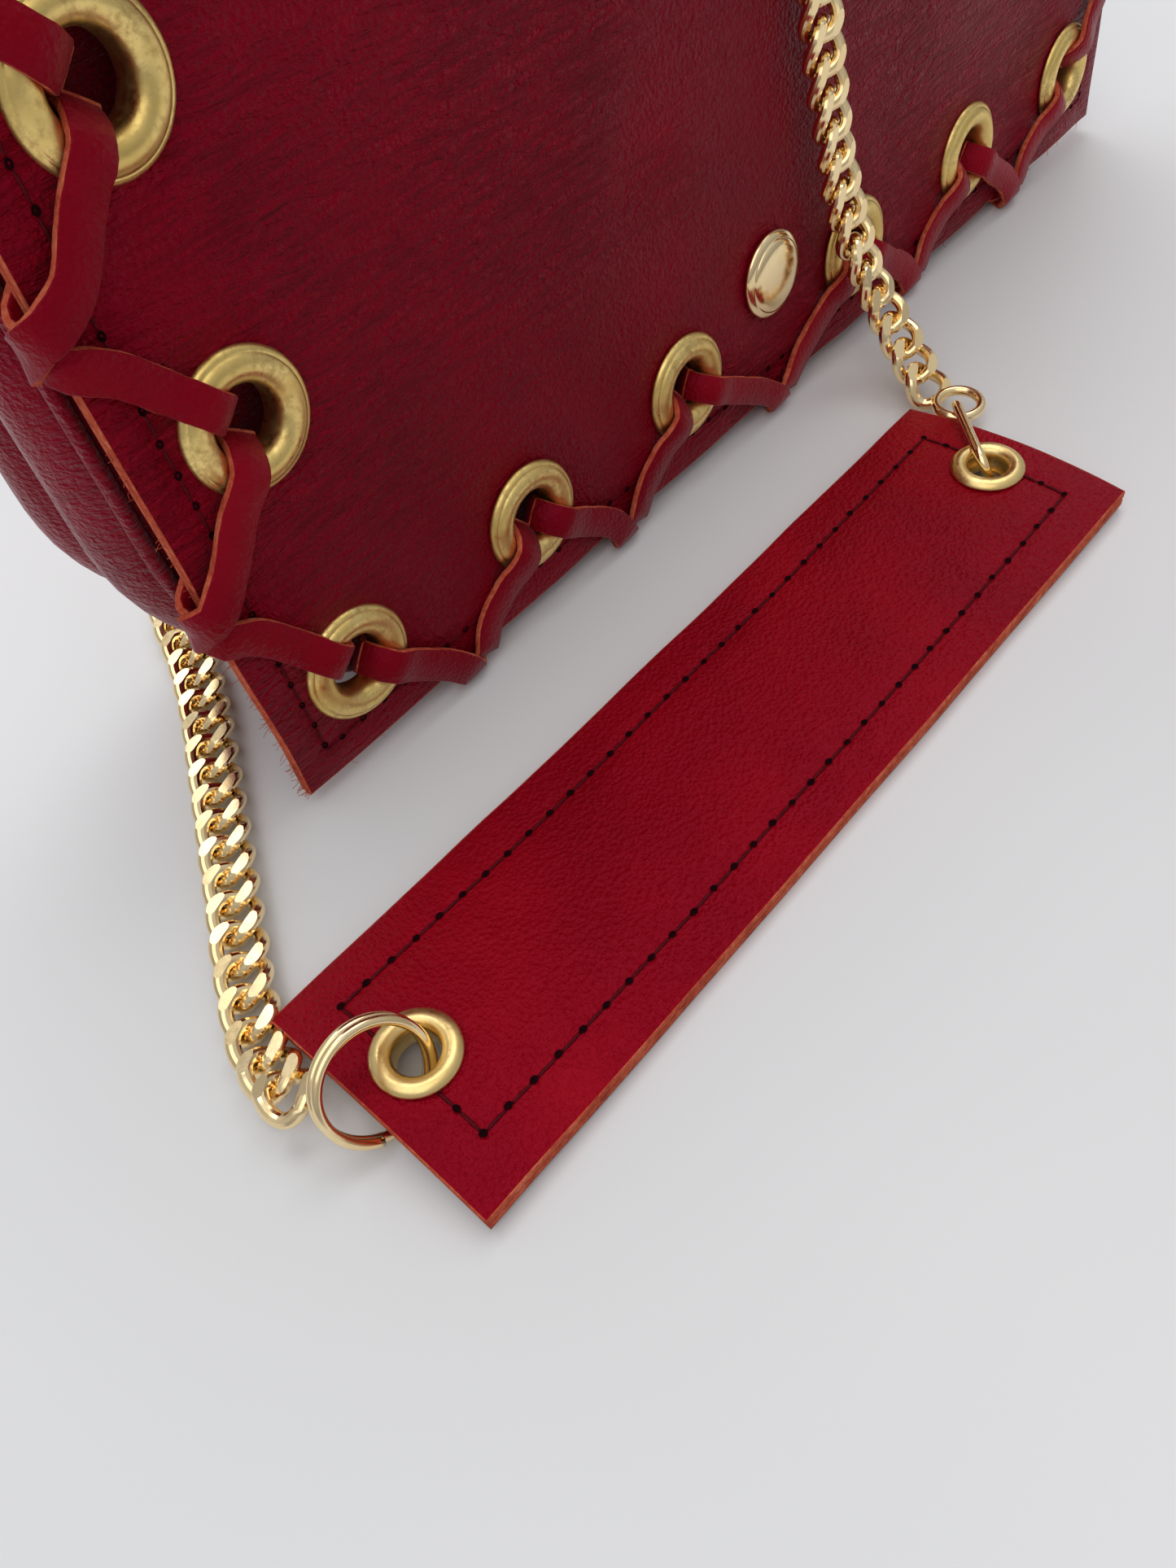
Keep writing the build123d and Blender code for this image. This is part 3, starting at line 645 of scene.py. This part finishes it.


# ---- Stitches: short arcs of thread sunk at both ends, with an awl hole between them, drawn as a dark disc of painted shade ----
def stitch_row(pile, place, length, pitch, thread_radius=0.26, covers=(), cover_radius=0.0):
    """place(distance) gives a point, the way along and the way out, in millimetres. covers are the middles
    of the eyelets that hide a part of the row."""
    def hidden(point):
        return any((point - cover).length < cover_radius for cover in covers)

    count = round(length / pitch)
    pitch = length / count
    for k in range(count + 1):
        point, along, out = place(min(k * pitch, length - 1e-6))
        across = out.cross(along)
        jitter = random.uniform(-0.12, 0.12)
        wide, long_ = random.uniform(0.50, 0.60), random.uniform(0.62, 0.74)
        ring = []
        for n in range(12):
            angle = 2 * math.pi * n / 12
            ring.append((point + along * (math.cos(angle) * long_)
                         + across * (math.sin(angle) * wide + jitter) + out * 0.34) * MM)
        # A flat dark disc over the stitch hole: painted shade, not a cut hole.
        if not hidden(point):
            pile.add(ring + [(point + out * 0.12) * MM], [(n, (n + 1) % 12, 12) for n in range(12)], 1)
        if k == count:
            break
        if hidden(place((k + 0.5) * pitch)[0]):
            continue
        line = []
        for n in range(9):
            t = n / 8
            spot, _, up = place(min((k + 0.13 + 0.74 * t) * pitch, length - 1e-6))
            line.append(spot + up * (-0.10 + 0.26 * math.sin(math.pi * t) ** 0.7))
        wire(pile, line, thread_radius, sides=7, kind=0)


def flap_stitch_place(distance):
    """Down the left edge, along the lower edge and up the right edge."""
    inset, half = FLAP_STITCH, FLAP_WIDTH / 2
    down, wide = FLAP_DROP - inset, 2 * (half - inset)
    if distance < down:
        x, length, along = -half + inset, FLAP_DROP - distance, -FLAP_UP
    elif distance < down + wide:
        x, length, along = -half + inset + distance - down, inset, Vector((1, 0, 0))
    else:
        x, length, along = half - inset, inset + distance - down - wide, FLAP_UP
    point, out = flap_surface(x, length)
    return point, along, out


def make_flap_thread():
    pile = Pile()
    total = 2 * (FLAP_DROP - FLAP_STITCH) + FLAP_WIDTH - 2 * FLAP_STITCH
    stitch_row(pile, flap_stitch_place, total, STITCH_PITCH)
    row = pile.build("flap_stitching", [THREAD, HOLE_SHADE_PAINT])
    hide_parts("flap_thread")
    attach(row, "flap")


# ---- Loose fibres along the flap's cut edge ----
def make_fibres():
    pile = Pile()
    half = FLAP_WIDTH / 2
    for k in range(130):
        if k % 3:
            x, length, outward = -half, 70 * random.random() ** 2, Vector((-1, 0, 0))
        else:
            x, length, outward = random.uniform(-half, half), 0.0, -FLAP_UP
        root = flap_surface(x, length)[0] - FLAP_OUT * random.uniform(0.1, 2 * LEATHER - 0.2)
        curl = Vector([random.uniform(-0.8, 0.8) for _ in range(3)])
        reach = random.uniform(0.5, 1.7)
        line = [root + outward * (reach * t - 0.1) + curl * (reach * t * t * 0.6)
                for t in (0, 0.35, 0.7, 1.0)]
        wire(pile, line, 0.045, sides=4)
    fibres = pile.build("loose_fibres", [RAW_EDGE])
    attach(fibres, "flap")


# ---- Big eyelets ----
def make_eyelets():
    flange = [(5.0, -3.3), (5.0, -0.4), (5.35, 0.9), (6.1, 1.75), (7.2, 2.2), (8.3, 2.05), (9.1, 1.55),
              (9.35, 1.15), (9.5, 1.2), (9.95, 0.95), (10.3, 0.35), (10.25, -0.1), (5.7, -0.15), (5.7, -3.3)]
    washer = [(5.8, -3.4), (5.8, -2.7), (9.3, -2.65), (9.3, -3.2), (8.6, -3.45), (7.4, -3.6)]
    fronts, backs = Pile(), Pile()
    x_way = Vector((1, 0, 0))
    for x, y in EYELETS:
        tip = 0.012 * noise.noise(Vector((x, y, 0)))
        centre = FLAP_EDGE + flap_way(x, y, 0.05)
        out = (FLAP_OUT + Vector((tip, 0, 0))).normalized()
        lathe(fronts, rounded(flange, 1), centre, x_way, out, 72)
        lathe(backs, rounded(washer, 1), centre, x_way, out, 48)
    rings = fronts.build("big_eyelets", [OLD_BRASS])
    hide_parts("flap_eyelets")
    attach(rings, "flap")
    discs = backs.build("big_eyelet_washers", [OLD_BRASS])
    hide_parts("flap_washers")
    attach(discs, "flap")


# ---- Lacing: two runs of thong whipped over the edge, crossing halfway between eyelets ----
def lace_run(pile, first, second, middle, outward, stack):
    """One turn: out of the first eyelet, over the edge at the middle, and up behind through the second."""
    start, end = Vector((*first, 0)), Vector((*second, 0))
    mid, edge_out = Vector((*middle, 0)), Vector((*outward, 0))
    along = (end - start).normalized()
    go, back = (mid - start).normalized(), (end - mid).normalized()
    reach = (mid - start).length
    lean = random.uniform(-0.8, 0.8)
    up, over = Vector((0, 0, 1)), EYELET_RISE + LACE_THICK / 2
    rows = [
        (start + go * 2.2 - up * 2.4, go * -0.9 + up * 0.5),
        (start + go * 3.7 + up * 0.9, go * -0.7 + up * 0.7),
        (start + go * 6.4 + up * (over + 0.15), up),
        (start + go * 9.4 + up * (over - 0.3), up + go * 0.2),
        (start + go * 12.8 + up * (1.5 + stack * 0.4) + along * lean * 0.5, up),
        (start + go * (reach * 0.72) + up * (1.1 + stack * 0.8) + along * lean, up),
        (mid - along * 2.9 - edge_out * 0.2 + up * (1.15 + stack), up + edge_out * 0.25),
        (mid - along * 1.7 + edge_out * (1.0 + stack * 0.7) + up * (0.5 + stack * 0.4), up + edge_out),
        (mid + edge_out * (1.35 + stack * 0.7) - up * 1.3, edge_out),
        (mid + along * 1.7 + edge_out * (1.0 + stack * 0.7) - up * (3.1 + stack * 0.4), edge_out - up),
        (mid + along * 2.9 - edge_out * 0.4 - up * (3.75 + stack), -up + edge_out * 0.25),
        (mid + back * (reach * 0.45) - up * (3.6 + stack * 0.6), -up),
        (end - back * 9.0 - up * 4.5, -up),
        (end - back * 5.6 - up * 4.6, -up),
        (end - back * 3.2 - up * 3.4, back * 0.7 - up * 0.7),
        (end - back * 2.2 - up * 1.2, back * 0.9 - up * 0.4),
    ]
    points = [FLAP_EDGE + flap_way(*spot) for spot, _ in rows]
    ways = [flap_way(*way) for _, way in rows]
    ribbon(pile, points, ways, LACE_WIDTH * random.uniform(0.92, 1.03), LACE_THICK)


def make_lacing():
    pile = Pile()
    for k, ((x1, y1), (x2, y2)) in enumerate(zip(EYELETS, EYELETS[1:])):
        middle = EDGE_PULLS[k]
        outward = (0, -1) if y1 == y2 else (1 if x1 > 0 else -1, 0)
        lace_run(pile, (x1, y1), (x2, y2), middle, outward, 1.55)
        lace_run(pile, (x2, y2), (x1, y1), middle, outward, 0.0)
    thong = pile.build("edge_thong", [LACE_LEATHER, RAW_EDGE])
    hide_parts("edge_lacing")
    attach(thong, "flap")


# ---- Snap cap: a polished dome with a bevelled rim ----
def make_snap_cap():
    pile = Pile()
    dome = [(8.3, 0.05), (8.3, 0.55), (8.0, 0.95), (7.2, 1.35), (7.0, 1.40)]
    dome += [(7.0 * math.cos(t), 1.40 + 1.35 * math.sin(t)) for t in (0.1, 0.35, 0.65, 0.95, 1.2, 1.4, 1.55)]
    dome += [(0.02, 2.75), (0.02, -3.9), (2.0, -3.9), (2.0, -0.1), (7.9, -0.1)]
    centre = FLAP_EDGE + FLAP_UP * SNAP_HEIGHT
    lathe(pile, dome, centre, Vector((1, 0, 0)), FLAP_OUT, 96)
    cap = pile.build("snap_dome", [GOLD])
    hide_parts("snap_cap")
    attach(cap, "flap")


# ---- Body: a soft open-topped bag, its gusset folded between the two panels ----
def body_outline(height, inset):
    """One level loop round the body, from the front's left corner anticlockwise seen from above."""
    low = max(0.0, BODY_CORNER - height)
    half = FLAP_WIDTH / 2 - BODY_CORNER + math.sqrt(max(0.0, BODY_CORNER ** 2 - low ** 2)) - inset

    def turned(radius):
        dip = max(0.0, radius - height)
        return radius - math.sqrt(max(0.0, radius ** 2 - dip ** 2))

    front = FRONT_FOOT + height * math.tan(FLAP_LEAN) + turned(FRONT_TURN) + inset
    back = BACK_FOOT - height * math.tan(BACK_LEAN) - turned(BACK_TURN) - inset
    swell = smooth(4, 45, height) * (1 - 0.75 * smooth(95, BODY_HEIGHT, height))
    loop = []
    for k in range(OUTLINE_FRONT):
        t = k / OUTLINE_FRONT
        x = -half + 2 * half * t
        soft = 1.1 * noise.noise(Vector((x * 0.02, height * 0.025, 2))) * smooth(0, 20, height)
        belly = 1.3 * (1 - (2 * t - 1) ** 2) * smooth(10, 60, height) * (1 - smooth(110, 150, height))
        loop.append((x, front - (soft * 0.5 + belly)))
    for k in range(OUTLINE_SIDE):
        t = k / OUTLINE_SIDE
        bulge = (5.6 * abs(math.sin(2 * math.pi * t)) ** 0.8 - 1.2 * bell(t - 0.5, 0.1)) * swell
        loop.append((half + bulge, front + (back - front) * t))
    for k in range(OUTLINE_FRONT):
        t = k / OUTLINE_FRONT
        x = half - 2 * half * t
        soft = 1.2 * noise.noise(Vector((x * 0.02, height * 0.025, 7))) * smooth(0, 20, height)
        belly = 2.0 * (1 - (2 * t - 1) ** 2) * smooth(5, 50, height) * (1 - smooth(90, 140, height))
        loop.append((x, back + soft * 0.5 + belly))
    for k in range(OUTLINE_SIDE):
        t = 1 - k / OUTLINE_SIDE
        bulge = (5.6 * abs(math.sin(2 * math.pi * t)) ** 0.8 - 1.2 * bell(t - 0.5, 0.1)) * swell
        loop.append((-half - bulge, front + (back - front) * t))
    return loop


def body_levels(low, high):
    levels_up = [low + 20 * (1 - math.cos(math.radians(a))) for a in (0, 8, 16, 25, 34, 44, 55, 66, 78, 90)]
    rest = int((high - levels_up[-1]) / 4)
    return levels_up + [levels_up[-1] + (high - levels_up[-1]) * (k + 1) / rest for k in range(rest)]


def make_shell(name, inset, wall, low, high, materials):
    """An open-topped bag with a wall and a rolled rim, from low to high."""
    pile = Pile()
    outer = body_levels(low, high)
    rings = [[(x, y, z) for x, y in body_outline(z - low, inset)] for z in outer]
    rings.append([(x, y, high + 0.35) for x, y in body_outline(high - low, inset + wall / 2)])
    rings += [[(x, y, z + (wall if z < low + 1 else 0)) for x, y in body_outline(z - low, inset + wall)]
              for z in reversed(outer)]
    size = len(rings[0])
    vertices = [Vector(p) * MM for ring in rings for p in ring]
    faces, kinds = [], []
    for k in range(len(rings) - 1):
        for n in range(size):
            m = (n + 1) % size
            faces.append((k * size + n, k * size + m, (k + 1) * size + m, (k + 1) * size + n))
            kinds.append(1 if k in (len(outer) - 1, len(outer)) else 0)
    faces.append(tuple(reversed(range(size))))
    faces.append(tuple((len(rings) - 1) * size + n for n in range(size)))
    kinds += [0, 0]
    pile.add(vertices, faces, kinds)
    return pile.build(name, materials)


def make_body():
    shell = make_shell("body_leather", 0.0, BODY_WALL, 0.0, BODY_HEIGHT, [BODY_LEATHER, RAW_EDGE])
    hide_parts("body_front_panel", "body_back_panel", "body_gusset")
    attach(shell, "bag")
    pouch = make_shell("lining_cloth", LINING_GAP, LINING_WALL, LINING_FLOOR, LINING_TOP, [LINING, LINING])
    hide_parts("lining_pouch")
    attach(pouch, "bag")
    corners = {(0, -1): 0, (0, 1): OUTLINE_FRONT, (1, 1): OUTLINE_FRONT + OUTLINE_SIDE,
               (1, -1): 2 * OUTLINE_FRONT + OUTLINE_SIDE}
    seams = Pile()
    for side in (0, 1):
        for end in (-1, 1):
            line = []
            for z in np.arange(6.0, BODY_HEIGHT - 1, 3.0):
                x, y = body_outline(z, 0.0)[corners[side, end]]
                line.append(Vector((x + end * 0.5, y + (-0.4 if side == 0 else 0.4), z)))
            wire(seams, line, PIPING_RADIUS, sides=10)
    piping = seams.build("body_piping", [BODY_LEATHER])
    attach(piping, "bag")


# ---- Ring tabs: leather folded round each ring's bar ----
def on_back(x, y, z):
    return Vector((x, BACK_FOOT, 0)) + BACK_UP * y + BACK_OUT * z


def make_tabs():
    pile = Pile()
    loop = TAB_LOOP + LEATHER / 2
    over, under = 2 * LEATHER * 0.75, LEATHER / 2
    for x in (-TAB_X, TAB_X):
        rows = [((TAB_LOW, over), (0, 1)), ((108.0, over), (0, 1)),
                ((TAB_STITCHED, over), (0, 1)), ((121.0, 4.4), (-0.35, 0.94))]
        for degrees in (100, 60, 20, -20, -60, -100):
            angle = math.radians(degrees)
            rows.append(((TAB_BAR + loop * math.cos(angle), BAR_STANDOFF + loop * math.sin(angle)),
                         (math.cos(angle), math.sin(angle))))
        rows += [((121.0, 1.2), (-0.2, -0.98)), ((TAB_STITCHED, under), (0, -1)),
                 ((106.0, under), (0, -1)), ((TAB_LOW, under), (0, -1))]
        points = [on_back(x, y, z) for (y, z), _ in rows]
        ways = [BACK_UP * u + BACK_OUT * v for _, (u, v) in rows]
        ribbon(pile, points, ways, TAB_WIDTH, LEATHER)
    tabs = pile.build("ring_tab_leather", [BODY_LEATHER, RAW_EDGE])
    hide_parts("ring_tabs")
    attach(tabs, "bag")


# ---- Shoulder pad ----
def pad_surface(x, y):
    """The pad's top face. It rests on the rings at its ends and sags between them."""
    t = (x + PAD_LENGTH / 2) / PAD_LENGTH
    lift = PAD_NEAR_LIFT + (PAD_FAR_LIFT - PAD_NEAR_LIFT) * t
    middle = 0.3
    ends = 1 - smooth(0.0, 0.32, t) if t < 0.5 else smooth(0.68, 1.0, t)
    foot = middle + (lift - middle) * ends
    droop = 0.8 * (foot - middle) * (abs(y) / (PAD_WIDTH / 2)) ** 1.7
    swell = 0.35 * noise.noise(Vector((x * 0.03, y * 0.04, 3)))
    swell += 0.12 * noise.noise(Vector((x * 0.1, y * 0.1, 5)))
    from_edge = min(PAD_LENGTH / 2 - abs(x), PAD_WIDTH / 2 - abs(y))
    swell += 0.5 * smooth(0, 14, from_edge)
    swell -= 0.40 * bell(from_edge - PAD_STITCH, 1.1)
    for end in (-1, 1):
        reach = math.hypot(x - end * PAD_EYELET, y)
        swell -= 0.45 * bell(reach, 8.5)
    wave = Vector((0, 0.35 * noise.noise(Vector((x * 0.03, 0, 11))), 0))
    top = max(foot - droop + swell, 0.1) + 2 * PAD_LAYER
    return PAD_CENTRE + Vector((x, y, top)) + wave, Vector((0, 0, 1))


def make_pad():
    columns = spaced(-PAD_LENGTH / 2, PAD_LENGTH / 2, 1.3)
    rows = spaced(-PAD_WIDTH / 2, PAD_WIDTH / 2, 1.3)
    pile = Pile()
    holes = [(-PAD_EYELET, 0), (PAD_EYELET, 0)]
    slab(pile, columns, rows, pad_surface, 0.0, -PAD_LAYER + 0.10, holes, 4.8)
    slab(pile, columns, rows, pad_surface, -PAD_LAYER - 0.10, -2 * PAD_LAYER, holes, 4.8)
    pad = pile.build("shoulder_pad", [PAD_LEATHER, RAW_EDGE])
    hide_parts("pad_top", "pad_bottom")
    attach(pad, "bag")


def pad_stitch_place(distance):
    """Round the pad, from its near left corner."""
    half_long, half_wide = PAD_LENGTH / 2 - PAD_STITCH, PAD_WIDTH / 2 - PAD_STITCH
    runs = ((-half_long, -half_wide, 1, 0, 2 * half_long), (half_long, -half_wide, 0, 1, 2 * half_wide),
            (half_long, half_wide, -1, 0, 2 * half_long), (-half_long, half_wide, 0, -1, 2 * half_wide))
    for x, y, dx, dy, length in runs:
        if distance <= length:
            break
        distance -= length
    point, out = pad_surface(x + dx * distance, y + dy * distance)
    return point, Vector((dx, dy, 0)), out


def make_pad_thread():
    pile = Pile()
    total = 4 * (PAD_LENGTH / 2 - PAD_STITCH + PAD_WIDTH / 2 - PAD_STITCH)
    covers = [pad_surface(end * PAD_EYELET, 0)[0] for end in (-1, 1)]
    stitch_row(pile, pad_stitch_place, total, STITCH_PITCH, 0.28, covers, 6.2)
    row = pile.build("pad_stitching", [THREAD, HOLE_SHADE_PAINT])
    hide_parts("pad_thread")
    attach(row, "bag")


def make_pad_eyelets():
    flange = [(3.5, -3.9), (3.5, -0.6), (3.7, 0.5), (4.3, 1.1), (5.3, 1.35), (6.3, 1.05), (6.95, 0.35),
              (6.9, -0.1), (4.0, -0.2), (4.0, -3.9)]
    washer = [(4.1, -4.0), (4.1, -3.45), (6.5, -3.45), (6.4, -3.9), (5.4, -4.05)]
    fronts, backs = Pile(), Pile()
    for end in (-1, 1):
        point = pad_surface(end * PAD_EYELET, 0)[0]
        ahead = pad_surface(end * PAD_EYELET + 4, 0)[0] - pad_surface(end * PAD_EYELET - 4, 0)[0]
        x_way = ahead.normalized()
        out = x_way.cross(Vector((0, 1, 0))).normalized()
        if out.z < 0:
            out = -out
        lathe(fronts, rounded(flange, 1), point + out * 0.25, x_way, out, 56)
        lathe(backs, rounded(washer, 1), point, x_way, out, 40)
    rings = fronts.build("pad_eyelet_rings", [SATIN_BRASS])
    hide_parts("pad_eyelets")
    discs = backs.build("pad_eyelet_washers", [SATIN_BRASS])
    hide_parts("pad_washers")
    for obj in (rings, discs):
        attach(obj, "bag")


# ---- Split ring: two close turns of wire ----
def make_split_ring():
    level = Vector((1, 0, 0))
    rise = Vector((0, math.cos(SPLIT_TILT), math.sin(SPLIT_TILT)))
    axis = level.cross(rise)
    turns, start = 1.97, math.radians(-110)
    line = []
    count = 150
    for k in range(count + 1):
        t = k / count
        angle = start + t * turns * 2 * math.pi
        line.append(SPLIT_CENTRE + (level * math.cos(angle) + rise * math.sin(angle)) * SPLIT_RADIUS
                    + axis * (smooth(0.42, 0.58, t) - 0.5) * SPLIT_WIRE * 0.97)
    pile = Pile()
    wire(pile, line, SPLIT_WIRE / 2, sides=16)
    ring = pile.build("split_ring_wire", [GOLD])
    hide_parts("split_ring")
    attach(ring, "bag")


# ---- Curb chain ----
def link_form():
    """One flat curb link at the origin: x along the chain, z out of its cut face. In millimetres."""
    half_long, half_wide = (CHAIN_PITCH + CHAIN_WIRE) / 2, (CHAIN_WIDTH - CHAIN_WIRE) / 2
    twist, cut = 1.2, 1.85
    line = []
    count = 44
    for k in range(count):
        angle = 2 * math.pi * k / count
        line.append(Vector((half_long * math.cos(angle), half_wide * math.sin(angle),
                            twist * math.sin(2 * angle))))
    pile = Pile()
    wire(pile, line, CHAIN_WIRE / 2, closed=True, sides=14)
    made = bmesh.new()
    points = [made.verts.new(v / MM) for v in pile.vertices]
    for face in pile.faces:
        made.faces.new([points[i] for i in face])
    for way in (1, -1):
        everything = made.verts[:] + made.edges[:] + made.faces[:]
        cut_through = bmesh.ops.bisect_plane(made, geom=everything, plane_co=(0, 0, way * cut),
                                             plane_no=(0, 0, way), clear_outer=True)
        rim = [e for e in cut_through["geom_cut"] if isinstance(e, bmesh.types.BMEdge)]
        bmesh.ops.holes_fill(made, edges=rim)
    made.verts.index_update()
    vertices = np.array([v.co for v in made.verts])
    faces = [tuple(v.index for v in f.verts) for f in made.faces]
    made.free()
    return vertices, faces


def route_line(name, route):
    """Points along the route's smooth curve, in millimetres, and its length."""
    curve = bpy.data.curves.new(name, "CURVE")
    curve.dimensions = "3D"
    curve.resolution_u = 24
    track = curve.splines.new("NURBS")
    track.points.add(len(route) - 1)
    for point, place in zip(track.points, route):
        point.co = (*(Vector(place) * MM), 1)
    track.order_u = 3
    track.use_endpoint_u = True
    holder = bpy.data.objects.new(name, curve)
    bpy.context.scene.collection.objects.link(holder)
    bpy.context.view_layer.update()
    mesh = bpy.data.meshes.new_from_object(holder)
    line = [Vector(v.co) / MM for v in mesh.vertices]
    bpy.data.objects.remove(holder)
    bpy.data.meshes.remove(mesh)
    bpy.data.curves.remove(curve)
    return line


def at_length(line, lengths, distance):
    """The point at a distance along a line; lengths are the distances of its own points."""
    k = int(np.searchsorted(lengths, distance)) - 1
    k = min(max(k, 0), len(line) - 2)
    t = (distance - lengths[k]) / max(lengths[k + 1] - lengths[k], 1e-9)
    return line[k].lerp(line[k + 1], t)


def chain_way(point, ahead):
    """The way the chain's flat side faces: off the bag where it hangs on it, up where it lies."""
    hangs = smooth(5.0, 22.0, point.z)
    over = smooth(162.0, 178.0, point.z)
    off = Vector((0, -1 if point.y < -12 else 1, 0.1))
    if over > 0:
        across = max(-1.0, min(1.0, (point.y + 2) / 14))
        off = off * (1 - over) + Vector((0, across, 1)) * over
    way = off * hangs + Vector((0, 0, 1)) * (1 - hangs)
    way -= ahead * way.dot(ahead)
    return way.normalized()


def make_chain(name, node, route, rolls):
    """Curb links along a route; each rolls by up to about rolls degrees."""
    form, faces = link_form()
    line = route_line(name + "_route", route)
    lengths = np.concatenate([[0], np.cumsum([(b - a).length for a, b in zip(line, line[1:])])])
    total = float(lengths[-1])
    count = round(total / CHAIN_PITCH)
    pitch = total / count
    pile = Pile()
    ways = []
    for k in range(count):
        middle = at_length(line, lengths, (k + 0.5) * pitch)
        ahead = (at_length(line, lengths, min((k + 1.1) * pitch, total))
                 - at_length(line, lengths, max((k - 0.1) * pitch, 0))).normalized()
        ways.append((middle, ahead, chain_way(middle, ahead)))
    for _ in range(3):
        ways = [(m, a, (ways[max(k - 1, 0)][2] + w * 2 + ways[min(k + 1, count - 1)][2]).normalized())
                for k, (m, a, w) in enumerate(ways)]
    for k, (middle, ahead, out) in enumerate(ways):
        out = (out - ahead * out.dot(ahead)).normalized()
        roll = math.radians(rolls * noise.noise(Vector((k * 0.45, 3.3, len(name))))
                            + 7 * noise.noise(Vector((k * 1.7, 8.1, 0))))
        out = Matrix.Rotation(roll, 3, ahead) @ out
        across = out.cross(ahead)
        turn = Matrix((ahead, across, out)).transposed()
        scale = pitch / CHAIN_PITCH
        moved = (form * np.array([scale, 1, 1])) @ np.array(turn).T + np.array(middle)
        pile.add([Vector(p) for p in moved * MM], faces, 0)
    chain = pile.build(name, [GOLD])
    sharp_flats(chain)
    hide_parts(node)
    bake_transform(chain)


def sharp_flats(obj):
    """The cut faces of the links keep crisp edges."""
    made = bmesh.new()
    made.from_mesh(obj.data)
    for edge in made.edges:
        if len(edge.link_faces) == 2 and edge.calc_face_angle() > math.radians(24):
            edge.smooth = False
    for face in made.faces:
        if len(face.verts) > 6:
            face.smooth = False
    made.to_mesh(obj.data)
    made.free()


def make_chains():
    make_chain("chain_links_left", "chain_left", LEFT_ROUTE,
               10)
    make_chain("chain_links_right", "chain_right", RIGHT_ROUTE,
               12)


# ---- CAD pieces whose shape is right get their finish ----
def finish_nodes():
    looks = {
        "snap_socket": GOLD, "snap_stud": GOLD, "snap_stud_washer": GOLD, "tab_rivets": GOLD,
        "d_ring_left": GOLD, "d_ring_right": GOLD, "chain_end_ring_left": GOLD, "chain_end_ring_right": GOLD,
        "oval_link": GOLD, "strap_end_link": GOLD,
    }
    for node, material in looks.items():
        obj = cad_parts[node]
        for slot in obj.material_slots:
            slot.link = "OBJECT"
            slot.material = material


# ---- Stage: table, light and camera ----
def make_table():
    pile = Pile()
    size = 3000.0
    corners = ((-size, -size), (size, -size), (size, size), (-size, size))
    pile.add([Vector((x, y, 0)) * MM for x, y in corners], [(0, 1, 2, 3)])
    material, tree, shader = new_material("table")
    cloud = noise_node(tree, position(tree), 5, 2)
    tone = ramp(tree, cloud, (0.3, (0.74, 0.75, 0.76)), (0.7, (0.80, 0.80, 0.81)))
    tree.links.new(tone, shader.inputs["Base Color"])
    shader.inputs["Roughness"].default_value = 0.55
    floor = pile.build("table", [material])


def make_light():
    world = bpy.data.worlds.new("room")
    bpy.context.scene.world = world
    world.use_nodes = True
    tree = world.node_tree
    background = tree.nodes["Background"]
    gradient = tree.nodes.new("ShaderNodeTexGradient")
    place = tree.nodes.new("ShaderNodeTexCoord")
    mapping = tree.nodes.new("ShaderNodeMapping")
    mapping.inputs["Rotation"].default_value = (0, math.pi / 2, 0)
    tree.links.new(place.outputs["Generated"], mapping.inputs["Vector"])
    tree.links.new(mapping.outputs[0], gradient.inputs[0])
    shade = ramp(tree, gradient.outputs[0], (0.0, (0.42, 0.42, 0.44)), (0.35, (0.62, 0.62, 0.64)),
                 (1.0, (1.0, 1.0, 1.0)))
    tree.links.new(shade, background.inputs[0])
    background.inputs[1].default_value = 0.64

    for name, spot, aim, size, power, tint in (
        ("window", (-500, -250, 900), (0, -40, 0), 900, 2.2, (1.0, 0.99, 0.97)),
        ("ceiling", (550, 600, 1300), (100, 60, 0), 1500, 13.5, (0.98, 0.99, 1.0)),
    ):
        light = bpy.data.lights.new(name, "AREA")
        light.shape = "SQUARE"
        light.size = size * MM
        light.energy = power
        light.color = tint
        lamp = bpy.data.objects.new(name, light)
        lamp.location = Vector(spot) * MM
        lamp.rotation_euler = (Vector(aim) - Vector(spot)).to_track_quat("-Z", "Y").to_euler()
        bpy.context.scene.collection.objects.link(lamp)


def make_camera():
    lens = bpy.data.cameras.new("camera")
    lens.lens = 26.95
    lens.sensor_width = 36
    lens.clip_start = 0.01
    camera = bpy.data.objects.new("camera", lens)
    right = Vector((0.65887, -0.74227, -0.12221))
    up = Vector((0.65204, 0.48249, 0.58485))
    ahead = Vector((0.37515, 0.46502, -0.80188))
    turn = Matrix((right, up, -ahead)).transposed().to_4x4()
    camera.matrix_world = Matrix.Translation(Vector((-175.30, -151.82, 159.48)) * MM) @ turn
    bpy.context.scene.collection.objects.link(camera)
    bpy.context.scene.camera = camera
    bpy.context.scene.view_settings.view_transform = "Standard"


make_table()
make_light()
make_camera()
make_flap()
make_flap_thread()
make_fibres()
make_eyelets()
make_lacing()
make_snap_cap()
make_body()
make_tabs()
make_pad()
make_pad_thread()
make_pad_eyelets()
make_split_ring()
make_chains()
finish_nodes()
